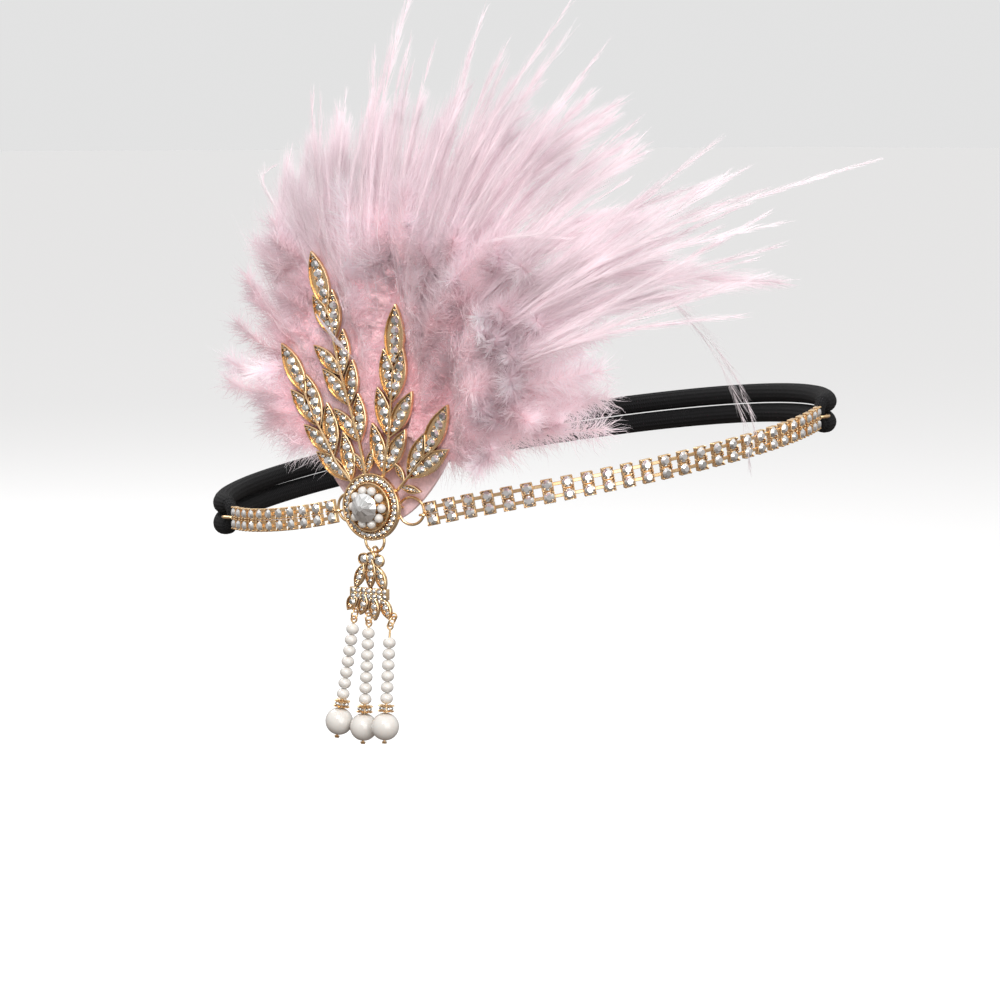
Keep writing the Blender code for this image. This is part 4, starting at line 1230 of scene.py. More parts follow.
@dataclass
class JewelledLeaf:
    """A leaf of the spray or the drop: plan base, plan tip and width, in millimetres."""

    base: tuple[float, float]
    tip: tuple[float, float]
    width: float
    low: float
    thickness: float = 1.05
    rim: float = 0.46
    dish: float = 0.62
    smallest: float = 0.36
    fill: float = 0.76
    spacing: float = 0.05

    def place(self) -> Matrix:
        """The leaf's own frame: y from base to tip."""
        dx, dy = self.tip[0] - self.base[0], self.tip[1] - self.base[1]
        return moved(self.base[0], self.base[1], self.low) @ Matrix.Rotation(-math.atan2(dx, dy), 4, "Z")

    def add_to(self, metal: Heap, stones: Heap, stone: Master, grain: Master, largest: float) -> None:
        """Add the leaf's plate, its graded stones and their prong beads.

        Args:
            metal: heap of gilt shapes.
            stones: heap of stones.
            stone: master stone.
            grain: master prong bead.
            largest: radius of its largest stone.
        """
        length = math.dist(self.base, self.tip)
        place = self.place()
        metal.add(Shapes.leaf(length, self.width, self.rim, self.thickness, self.dish), place)
        bed = self.thickness - self.dish + self.rim * 0.28
        at = max(1.5 * self.rim, 0.12 * length)
        last = None
        while at < length - 1.3 * self.rim:
            room = self.width / 2.0 * math.sin(math.pi * min(at + 0.9, length * 0.97) / length) ** BELLY
            radius = min(largest, max(self.smallest, (room - self.rim) * self.fill))
            centre = at + radius
            if centre + radius > length - 1.1 * self.rim:
                break
            stones.add(stone, place @ moved(0.0, centre, bed + 0.12) @ turned(37.0 * centre, "Z")
                       @ scaled(radius, radius, radius * 1.25))
            if last is not None:
                side = min(radius, last) * 0.82
                for x in (-side, side):
                    metal.add(grain, place @ moved(x, at, bed + 0.30) @ scaled(PRONG))
            last = radius
            at = centre + radius + self.spacing


@dataclass
class LeafSpray:
    """The cast spray: hub, four stems with their leaves, ears, and set stones."""

    height: float = 74.0
    low: float = 6.0
    thickness: float = 1.2
    hub: float = 8.2
    leaf_length: float = 15.5
    leaf_share: float = 0.35
    stem: float = 0.62
    eye_radius: float = 1.15
    eye_wire: float = 0.35
    largest_stone: float = 1.42
    stems: dict[str, tuple[tuple[float, float], ...]] = field(default_factory=lambda: {
        "rear": ((-0.050, 0.052), (-0.114, 0.098), (-0.178, 0.166), (-0.226, 0.251),
                 (-0.286, 0.342), (-0.327, 0.434)),
        "tall": ((-0.020, 0.069), (-0.042, 0.132), (-0.070, 0.255), (-0.103, 0.353),
                 (-0.139, 0.464), (-0.166, 0.551), (-0.187, 0.630), (-0.198, 0.709), (-0.228, 0.766)),
        "upright": ((0.025, 0.072), (0.046, 0.133), (0.067, 0.263), (0.079, 0.398), (0.090, 0.546)),
        "front": ((0.065, 0.039), (0.098, 0.058), (0.170, 0.134), (0.232, 0.205)),
    })
    leaves: tuple[tuple[str, float, float, float], ...] = (
        ("rear", 0.96, -30, 1.12), ("rear", 0.66, -18, 1.06), ("rear", 0.68, -44, 0.94),
        ("rear", 0.40, -50, 0.90), ("rear", 0.40, -9, 1.02), ("rear", 0.14, -57, 0.96),
        ("rear", 0.14, -12, 0.94),
        ("tall", 0.97, -18, 1.18), ("tall", 0.83, -31, 0.90), ("tall", 0.81, -2, 0.95),
        ("tall", 0.62, -49, 0.84), ("tall", 0.61, 1, 0.90), ("tall", 0.45, -42, 0.92),
        ("tall", 0.45, 4, 0.87), ("tall", 0.25, -43, 0.84), ("tall", 0.25, -2, 0.91),
        ("tall", 0.08, -38, 0.50), ("tall", 0.08, 18, 0.50),
        ("upright", 0.96, 2, 1.24), ("upright", 0.71, -10, 1.00), ("upright", 0.70, 14, 1.06),
        ("upright", 0.42, -15, 0.97), ("upright", 0.42, 30, 1.02), ("upright", 0.12, -15, 0.98),
        ("upright", 0.12, 29, 0.98),
        ("front", 0.94, 28, 1.16), ("front", 0.50, 24, 0.94), ("front", 0.50, 57, 1.06),
        ("front", 0.42, -32, 0.40), ("front", 0.30, 99, 0.46),
    )

    def stem_points(self, name: str) -> list[Vector]:
        """Bends of one stem in millimetres."""
        return [Vector((x * self.height, y * self.height)) for x, y in self.stems[name]]

    @staticmethod
    def along(points: list[Vector], share: float) -> Vector:
        """The point at a share of a run's length.

        Args:
            points: the run's bends.
            share: from 0 to 1.

        Returns:
            The point.
        """
        lengths = [(b - a).length for a, b in zip(points, points[1:])]
        left = share * sum(lengths)
        for a, b, length in zip(points, points[1:], lengths):
            if left <= length:
                return a.lerp(b, left / length)
            left -= length
        return points[-1]

    def leaf_line(self, name: str, share: float, lean: float, size: float) -> tuple[Vector, Vector]:
        """Base and tip of a leaf.

        Args:
            name: its stem.
            share: share of the stem's length where it grows.
            lean: from upright toward the front, in degrees.
            size: its length as a share of the leaf length.

        Returns:
            Its ends in millimetres.
        """
        base = self.along(self.stem_points(name), share)
        heading = Vector((math.sin(math.radians(lean)), math.cos(math.radians(lean))))
        return base, base + heading * (size * self.leaf_length)

    def hulls(self) -> list[np.ndarray]:
        """The convex outline of each branch.

        Returns:
            Its corners in plan, counter-clockwise.
        """
        outlines = []
        for stem in self.stems:
            points = []
            for name, share, lean, size in self.leaves:
                if name != stem:
                    continue
                base, tip = self.leaf_line(name, share, lean, size)
                half = (tip - base) * (self.leaf_share / 2.0)
                middle = (base + tip) / 2.0
                across = Vector((-half.y, half.x))
                points += [tuple(base), tuple(tip), tuple(middle + across), tuple(middle - across)]
            outlines.append(hull_of(points))
        return outlines

    def add_stem(self, metal: Heap, name: str) -> None:
        """Sweep one stem as a round wire along its bends.

        Args:
            metal: heap of gilt shapes.
            name: which stem.
        """
        foot, thinning, sink = 0.6, 0.45, 0.15
        points = self.stem_points(name)
        points[0] = points[0] * foot
        curve = bpy.data.curves.new("stem", "CURVE")
        curve.dimensions = "3D"
        curve.bevel_depth = self.stem
        curve.bevel_resolution = 2
        curve.use_fill_caps = True
        line = curve.splines.new("POLY")
        line.points.add(len(points) - 1)
        for i, point in enumerate(points):
            line.points[i].co = (point.x, point.y, self.low + self.thickness - sink, 1.0)
            line.points[i].radius = 1.0 - thinning * i / (len(points) - 1)
        Bench.pick(Bench.put("stem", curve))
        bpy.ops.object.convert(target="MESH")
        metal.add(Bench.take(bpy.context.active_object))

    def build(self) -> None:
        """Build the spray's gilt casting and its stones."""
        metal = Heap("spray_casting", GILT)
        stones = Heap("spray_stones", STONE)
        stone, grain = Shapes.stone(12), Shapes.grain()
        for name, share, lean, size in self.leaves:
            base, tip = self.leaf_line(name, share, lean, size)
            width = size * self.leaf_length * self.leaf_share
            JewelledLeaf(tuple(base), tuple(tip), width, self.low + 0.08).add_to(
                metal, stones, stone, grain, self.largest_stone)
        for name in self.stems:
            self.add_stem(metal, name)
        soft, top = 0.2, self.low + self.thickness - 0.05
        plate = [(0.0, self.low), (self.hub - soft, self.low), (self.hub, self.low + soft),
                 (self.hub, top - soft), (self.hub - soft, top), (0.0, top)]
        metal.add(Bench.lathe(plate, 48))
        ear = Shapes.ring(self.eye_radius, self.eye_wire, 20, 8)
        for x in (EAR_SPREAD, -EAR_SPREAD):
            metal.add(ear, moved(x, 0.0, EAR_LEVEL) @ turned(90.0, "X"))
        metal.add(ear, moved(*LOWER_EAR) @ turned(90.0, "Y"))
        metal.finished("leaf_spray")
        stones.finished()


@dataclass
class Medallion:
    """The round setting: rims, a ring of small stones, pearls and the raised crystal."""

    back: float = 7.5
    radius: float = 9.7
    rim_rise: float = 1.8
    bed_rise: float = 1.3
    wall_radius: float = 7.1
    wall: float = 0.5
    wall_rise: float = 2.6
    stones: int = 29
    stone_radius: float = 0.84
    stone_ring: float = 8.12
    pearls: int = 10
    pearl_radius: float = 1.35
    pearl_ring: float = 4.9
    crystal: float = 4.2
    crown: float = 2.1
    girdle: float = 0.25
    pavilion: float = 2.9
    table: float = 0.19

    def build(self) -> None:
        """Build the setting, its stones, its pearls and its crystal."""
        pearl_level = self.back + self.rim_rise + self.pearl_radius + 0.05
        beside = self.pearl_ring - self.crystal
        girdle = pearl_level + math.sqrt((self.pearl_radius + GAP) ** 2 - beside ** 2) + 0.05
        bed, rim, wall = self.back + self.bed_rise, self.back + self.rim_rise, self.back + self.wall_rise
        channel = pearl_level - self.pearl_radius - GAP
        seat = self.pearl_ring - self.pearl_radius - GAP
        inner = self.wall_radius - self.wall
        profile = [(0.0, self.back), (self.radius - 0.25, self.back), (self.radius, self.back + 0.3),
                   (self.radius, rim - 0.2), (self.radius - 0.15, rim), (self.radius - 0.42, rim),
                   (self.radius - 0.6, rim - 0.2), (self.radius - 0.62, bed), (self.wall_radius, bed),
                   (self.wall_radius, wall - 0.15), (self.wall_radius - 0.13, wall),
                   (inner + 0.13, wall), (inner, wall - 0.15), (inner, channel), (seat, channel),
                   (seat, pearl_level + 0.1), (seat - 0.3, pearl_level + 0.15),
                   (1.2, channel), (0.0, channel)]
        metal = Heap("medallion_gilt", GILT)
        metal.add(Bench.lathe(profile, 72))
        gems = Heap("medallion_stones", STONE)
        stone, grain = Shapes.stone(12), Shapes.grain()
        for i in range(self.stones):
            turn = math.tau * i / self.stones
            gems.add(stone, around(self.stone_ring, turn, bed + 0.15) @ turned(53.0 * i, "Z")
                     @ scaled(self.stone_radius, self.stone_radius, 1.1))
            for reach in (self.stone_ring - 0.62, self.stone_ring + 0.62):
                metal.add(grain, around(reach, turn + math.pi / self.stones, bed + 0.32) @ scaled(PRONG))
        for i in range(self.pearls):
            turn = math.tau * i / self.pearls
            metal.add(grain, around(self.pearl_ring + 0.75, turn, pearl_level - 0.3) @ scaled(0.3, 0.3, 0.7))
        metal.finished("medallion_setting")
        gems.finished()
        halo = Heap("halo_pearls", PEARL)
        bead = Shapes.bead(18, 10)
        for i in range(self.pearls):
            turn = math.tau * (i + 0.5) / self.pearls
            halo.add(bead, around(self.pearl_ring, turn, pearl_level) @ scaled(self.pearl_radius))
        halo.finished(*(f"halo_pearl_{i + 1:02d}" for i in range(self.pearls)))
        gem = Heap("raised_crystal", STONE)
        heights = (height / self.crystal for height in (self.crown, self.girdle, self.pavilion))
        cut = Shapes.brilliant(*heights, self.table)
        gem.add(cut, moved(0.0, 0.0, girdle + self.girdle) @ scaled(self.crystal))
        gem.finished("centre_crystal")


@dataclass
class Tassel:
    """The hanging drop, its rings, pearl strings, rondelles and large pearls."""

    ring_wire: float = 0.42
    length: float = 19.9
    eye: float = 1.5
    eye_wire: float = 0.35
    thickness: float = 1.2
    largest_stone: float = 1.15
    columns: int = 7
    bar: tuple[float, float] = (13.2, 3.2)
    bar_at: tuple[float, float] = (-0.03, 0.595)
    lobes: tuple[tuple[float, float, float], ...] = (
        (-0.125, 0.100, 0.092), (0.135, 0.115, 0.095), (0.0, 0.068, 0.083))
    leaves: tuple[Row, ...] = (
        (0.00, 0.040, -0.010, 0.530, 0.190), (-0.115, 0.160, -0.270, 0.535, 0.165),
        (0.110, 0.190, 0.240, 0.555, 0.175), (-0.240, 0.600, -0.405, 0.865, 0.180),
        (-0.090, 0.610, -0.180, 0.920, 0.175), (0.040, 0.620, 0.075, 0.985, 0.180),
        (0.190, 0.640, 0.335, 0.960, 0.175))
    strings: tuple[Row, ...] = (
        (-0.275, 0.838, -0.300, 0.990, 0.0, 7, -4.8, 1.9),
        (-0.050, 0.880, -0.040, 1.030, 0.0, 7, -1.4, 1.2),
        (0.395, 0.900, 0.330, 1.045, 1.9, 6, -0.3, 2.7))
    string_wire: float = 0.28
    string_eye: float = 0.94
    pin: float = 0.35
    neck: float = 0.4
    pearl: float = 1.95
    pitch: float = 3.2
    large_pearl: float = 4.0
    rondelle: float = 2.45
    rondelle_height: float = 1.9

    def heap(self, name: str, finish: Finish) -> Heap:
        """A heap in the pendant's own frame, at the pivot."""
        return Heap(name, finish, Body.PENDANT, ORNAMENT @ moved(*PIVOT))

    def make_drop(self) -> None:
        """Build the drop: lobes, leaves, bar, eyes and stones."""
        metal = self.heap("drop_casting", GILT)
        gems = self.heap("drop_stones", STONE)
        stone, grain = Shapes.stone(12), Shapes.grain()
        low, high = self.eye, self.eye + self.thickness
        metal.add(Shapes.ring(self.eye, self.eye_wire, 24, 8), turned(90.0, "Y"))
        for base_x, base_y, tip_x, tip_y, width in self.leaves:
            base = (base_x * self.length, -base_y * self.length)
            tip = (tip_x * self.length, -tip_y * self.length)
            leaf = JewelledLeaf(base, tip, width * self.length, low + 0.02, thickness=1.1, rim=0.45,
                                dish=0.45)
            leaf.add_to(metal, gems, stone, grain, self.largest_stone)
        for x, y, radius in self.lobes:
            reach = radius * self.length
            top = high - 0.1
            cup = [(0.0, low), (reach - 0.15, low), (reach, low + 0.2), (reach, top - 0.1),
                   (reach - 0.2, top + 0.1), (reach - 0.42, top), (reach - 0.46, top - 0.4), (0.0, top - 0.4)]
            spot = moved(x * self.length, -y * self.length, 0.0)
            metal.add(Bench.lathe(cup, 24), spot)
            gems.add(stone, spot @ moved(0.0, 0.0, top - 0.28) @ scaled(reach - 0.55, reach - 0.55, 1.2))
        wide, tall = self.bar
        centre = (self.bar_at[0] * self.length, -self.bar_at[1] * self.length)
        metal.add(Shapes.block((wide, tall, self.thickness), 0.2, 2),
                  moved(centre[0], centre[1], low + self.thickness / 2.0 - 0.12))
        step = (wide - 0.5) / self.columns
        for i in range(self.columns):
            x = centre[0] - wide / 2.0 + 0.25 + step * (i + 0.5)
            for y in (centre[1] - tall / 4.0, centre[1] + tall / 4.0):
                gems.add(stone, moved(x, y, high - 0.08) @ turned(47.0 * i, "Z") @ scaled(0.72, 0.72, 1.0))
            if i:
                for y in (centre[1] - tall / 2.0 + 0.25, centre[1], centre[1] + tall / 2.0 - 0.25):
                    metal.add(grain, moved(x - step / 2.0, y, high) @ scaled(0.26))
        eye = Shapes.ring(self.string_eye, self.string_wire, 18, 8)
        for x, y, *_ in self.strings:
            metal.add(eye, moved(x * self.length, -y * self.length, low + self.thickness / 2.0))
        metal.finished("pendant_drop")
        gems.finished()

    def make_string(self, index: int, row: Row) -> None:
        """Build one ring, string, rondelle and large pearl.

        Args:
            index: the string's number, from 1.
            row: its line of the table.
        """
        eye_x, eye_y, top_x, top_y, extra, pearls, lean_side, lean_out = row
        level = self.eye + self.thickness / 2.0
        eye = Vector((eye_x * self.length, -eye_y * self.length, level))
        top = Vector((top_x * self.length, -top_y * self.length, level))
        link = self.heap(f"tassel_wire_{index}", GILT)
        link.add(Shapes.ring((top - eye).length / 2.0, self.string_wire, 28, 8),
                 frame_matrix((eye + top) / 2.0, top - eye, Vector((0.0, 0.0, 1.0))))
        link.finished(f"tassel_ring_{index}")
        neck = self.string_eye + self.neck + extra
        beads_end = neck + pearls * self.pitch
        rondelle_at = beads_end + GAP + self.rondelle_height / 2.0
        pearl_at = rondelle_at + self.rondelle_height / 2.0 + GAP + self.large_pearl
        pin_end = pearl_at + self.large_pearl + GAP
        drop = math.sqrt(pin_end ** 2 - lean_side ** 2 - lean_out ** 2)
        heading = Vector((lean_side, -drop, lean_out)).normalized()
        side = heading.cross(Vector((0.0, 0.0, 1.0))).normalized()
        axes = Matrix((side, heading.cross(side), heading)).transposed().to_4x4()
        hang = Matrix.Translation(top) @ axes
        beads = self.heap(f"small_pearls_{index}", PEARL)
        form = scaled(0.95 * self.pearl, 0.95 * self.pearl, 0.51 * self.pitch)
        beads.add(Shapes.bead(20, 12), *(
            hang @ moved(0.0, 0.0, neck + (i + 0.5) * self.pitch) @ form for i in range(pearls)))
        beads.finished(f"pearl_string_{index}")
        metal = self.heap(f"string_gilt_{index}", GILT)
        pin_start, head = self.string_eye - 0.14, pin_end + 0.6
        pin = [(0.0, pin_start), (self.pin, pin_start), (self.pin, pin_end), (0.8, pin_end), (0.64, head),
               (0.0, head)]
        metal.add(Bench.lathe(pin, 16), hang)
        metal.add(Shapes.ring(self.string_eye, self.string_wire, 18, 8), hang @ turned(90.0, "X"))
        metal.finished()
        self.make_rondelle(index, hang @ moved(0.0, 0.0, rondelle_at))
        large = self.heap(f"large_pearl_bead_{index}", PEARL)
        large.add(Shapes.bead(32, 20), hang @ moved(0.0, 0.0, pearl_at) @ scaled(self.large_pearl))
        large.finished(f"large_pearl_{index}")

    def make_rondelle(self, index: int, place: Matrix) -> None:
        """Build one rondelle: two wavy flanges, a core and stones between them.

        Args:
            index: the string's number.
            place: the rondelle's middle and axis.
        """
        metal = self.heap(f"rondelle_gilt_{index}", GILT)
        half, bore = self.rondelle_height / 2.0, self.pin + 0.15
        waist, inside = self.rondelle - 0.75, half - 0.1
        core = [(bore, -inside), (waist, -inside), (waist, inside), (bore, inside)]
        metal.add(Bench.lathe(core, 24), place)
        flange = self.flange(bore)
        metal.add(flange, place @ moved(0.0, 0.0, half - 0.16), place @ moved(0.0, 0.0, -half + 0.16))
        metal.finished(f"rondelle_{index}")
        gems = self.heap(f"rondelle_stones_{index}", STONE)
        seat = moved(waist, 0.0, 0.0) @ turned(90.0, "Y") @ scaled(0.56, 0.56, 0.8)
        gems.add(Shapes.stone(8), *(place @ turned(36.0 * i, "Z") @ seat for i in range(10)))
        gems.finished()

    def flange(self, bore: float) -> Master:
        """A thin disc with a zigzag edge and a hole.

        Args:
            bore: the hole's radius.

        Returns:
            The disc, about its middle.
        """
        thin, edge = 0.14, self.rondelle - 0.3
        outline = [(bore, -thin), (edge, -thin), (self.rondelle, 0.0), (edge, thin), (bore, thin)]
        disc = Bench.lathe(outline, 40)
        reach = np.hypot(disc.points[:, 0], disc.points[:, 1])
        turn = np.arctan2(disc.points[:, 1], disc.points[:, 0])
        wave = 0.13 * np.cos(10.0 * turn) * (reach > self.rondelle - 0.4)
        disc.points[:, :2] *= (1.0 - 0.4 * np.abs(wave) / self.rondelle)[:, None]
        disc.points[:, 2] += wave
        return disc

    def build(self) -> None:
        """Build the tassel from its ring down."""
        ear, pivot = Vector(LOWER_EAR), Vector(PIVOT)
        ring = Heap("pendant_wire", GILT)
        ring.add(Shapes.ring((ear - pivot).length / 2.0, self.ring_wire),
                 frame_matrix((ear + pivot) / 2.0, pivot - ear, Vector((1.0, 0.0, 0.0))))
        ring.finished("pendant_ring")
        self.make_drop()
        for index, row in enumerate(self.strings, 1):
            self.make_string(index, row)


@dataclass
class FeltPad:
    """The felt pad behind the plume, with a softened cut edge."""

    radius: float = 24.5
    half_height: float = 26.0
    taper: float = 0.3
    centre: tuple[float, float] = (0.5, 21.0)
    back: float = 1.6
    thickness: float = 1.5

    def build(self) -> None:
        Bench.start()
        bpy.ops.mesh.primitive_circle_add(vertices=96, radius=1.0, fill_type="NGON")
        thing = bpy.context.active_object
        thing.name = thing.data.name = "felt_backing"
        shape = Bench.edit(thing)
        for vert in shape.verts:
            turn = math.atan2(vert.co.y, vert.co.x)
            reach = self.radius * math.cos(turn) * (1.0 + self.taper * math.sin(turn))
            vert.co.x = self.centre[0] + reach
            vert.co.y = self.centre[1] + self.half_height * math.sin(turn)
            vert.co.z = self.back
        for face in shape.faces:
            face.select_set(True)
        bmesh.update_edit_mesh(thing.data)
        Bench.extrude(self.thickness)
        Bench.close()
        Bench.modify(thing, "BEVEL", width=0.35, segments=3, limit_method="ANGLE")
        thing.data.transform(scaled(MM) @ ORNAMENT)
        dress(thing, FELT, Body.HEADBAND, "felt_pad")


class Barbs(Enum):
    """Kinds of feather by how their barbs stand."""

    DOWN = "down"
    HACKLE = "hackle"
    WISP = "wisp"


@dataclass(frozen=True)
class Growth:
    """How the barbs of one kind of feather stand, and how far out their deep colour fades."""

    flattest: float
    steepest: float
    shortest: float
    bend: float
    wave: float
    stray: float
    cast: float
    fade: float


GROWTH = {Barbs.DOWN: Growth(26.0, 92.0, 0.5, 0.48, 0.09, 0.40, 0.35, 0.5),
          Barbs.HACKLE: Growth(3.0, 18.0, 0.7, 0.6, 0.014, 0.045, 0.2, 0.6),
          Barbs.WISP: Growth(3.0, 11.0, 0.7, 0.6, 0.014, 0.045, 0.2, 0.6)}


@dataclass
class Feather:
    """One feather: its shaft's points and how its barbs grow."""

    shaft: np.ndarray
    kind: Barbs
    barbs: int
    length: float
    tone: float


@dataclass
class BarbField:
    """Barbs of many feathers as tapered ribbons in a few pieces."""

    name: str
    finish: Finish
    steps: int
    width: float
    end_width: float = 0.35
    lines: list[np.ndarray] = field(default_factory=list)
    facings: list[np.ndarray] = field(default_factory=list)
    tints: list[np.ndarray] = field(default_factory=list)
    widths: list[np.ndarray] = field(default_factory=list)

    def add(self, lines: np.ndarray, facing: np.ndarray, tints: np.ndarray, widths: np.ndarray) -> None:
        """Add barbs.

        Args:
            lines: points of each barb, count x steps x 3.
            facing: direction that each ribbon looks to, count x 3.
            tints: colour at each point, count x steps x 3.
            widths: width of each barb at its base.
        """
        self.lines.append(lines)
        self.facings.append(facing)
        self.tints.append(tints)
        self.widths.append(widths)

    def finished(self, pieces: int) -> list[bpy.types.Object]:
        """Make the pieces.

        Args:
            pieces: how many objects share the barbs.

        Returns:
            The objects.
        """
        lines, facing = np.concatenate(self.lines), np.concatenate(self.facings)
        tints, widths = np.concatenate(self.tints), np.concatenate(self.widths)
        made = []
        for index in range(pieces):
            share = slice(index, None, pieces)
            made.append(self.piece(f"{self.name}_{index + 1}", lines[share], facing[share], tints[share],
                                   widths[share]))
        return made

    def piece(self, name: str, lines: np.ndarray, facing: np.ndarray, tints: np.ndarray,
              widths: np.ndarray) -> bpy.types.Object:
        """One mesh of ribbons that taper to a point.

        Args:
            name: the object's name.
            lines: points of each barb.
            facing: direction that each ribbon looks to.
            tints: colour at each point.
            widths: width of each barb at its base.

        Returns:
            The object.
        """
        count, steps, _ = lines.shape
        along = np.gradient(lines, axis=1)
        side = np.cross(facing[:, None, :], along)
        side /= np.linalg.norm(side, axis=2, keepdims=True) + 1e-9
        taper = np.linspace(1.0, self.end_width, steps)
        half = side * (widths[:, None] * taper[None, :] / 2.0)[:, :, None]
        left, right = lines + half, lines - half
        body = np.stack([right[:, :-1], left[:, :-1]], axis=2).reshape(count, -1, 3)
        points = np.concatenate([body, lines[:, -1:]], axis=1)
        colours = np.concatenate([np.repeat(tints[:, :-1], 2, axis=1), tints[:, -1:]], axis=1)
        per = points.shape[1]
        offset = (np.arange(count) * per)[:, None]
        quads = [[2 * s, 2 * s + 2, 2 * s + 3, 2 * s + 1] for s in range(steps - 2)]
        loops = np.array([i for quad in quads for i in quad] + [per - 3, per - 1, per - 2])
        starts = np.arange(steps - 1) * 4
        indices = (offset + loops[None, :]).ravel()
        first = ((np.arange(count) * len(loops))[:, None] + starts[None, :]).ravel()
        world = carried(points.reshape(-1, 3), ORNAMENT) * MM
        mesh = bpy.data.meshes.new(name)
        mesh.vertices.add(len(world))
        mesh.vertices.foreach_set("co", world.astype(np.float32).ravel())
        mesh.loops.add(len(indices))
        mesh.loops.foreach_set("vertex_index", indices.astype(np.int32))
        mesh.polygons.add(len(first))
        mesh.polygons.foreach_set("loop_start", first.astype(np.int32))
        mesh.update(calc_edges=True)
        layer = mesh.color_attributes.new("tint", "FLOAT_COLOR", "POINT")
        rgba = np.hstack([colours.reshape(-1, 3), np.ones((count * per, 1))])
        layer.data.foreach_set("color", np.clip(rgba, 0.0, 1.0).astype(np.float32).ravel())
        turn = np.array(ORNAMENT)[:3, :3]
        normals = np.repeat(facing / np.linalg.norm(facing, axis=1, keepdims=True), per, axis=0) @ turn.T
        thing = Bench.put(name, mesh)
        dress(thing, self.finish, Body.HEADBAND)
        mesh.normals_split_custom_set_from_vertices(normals.tolist())
        return thing


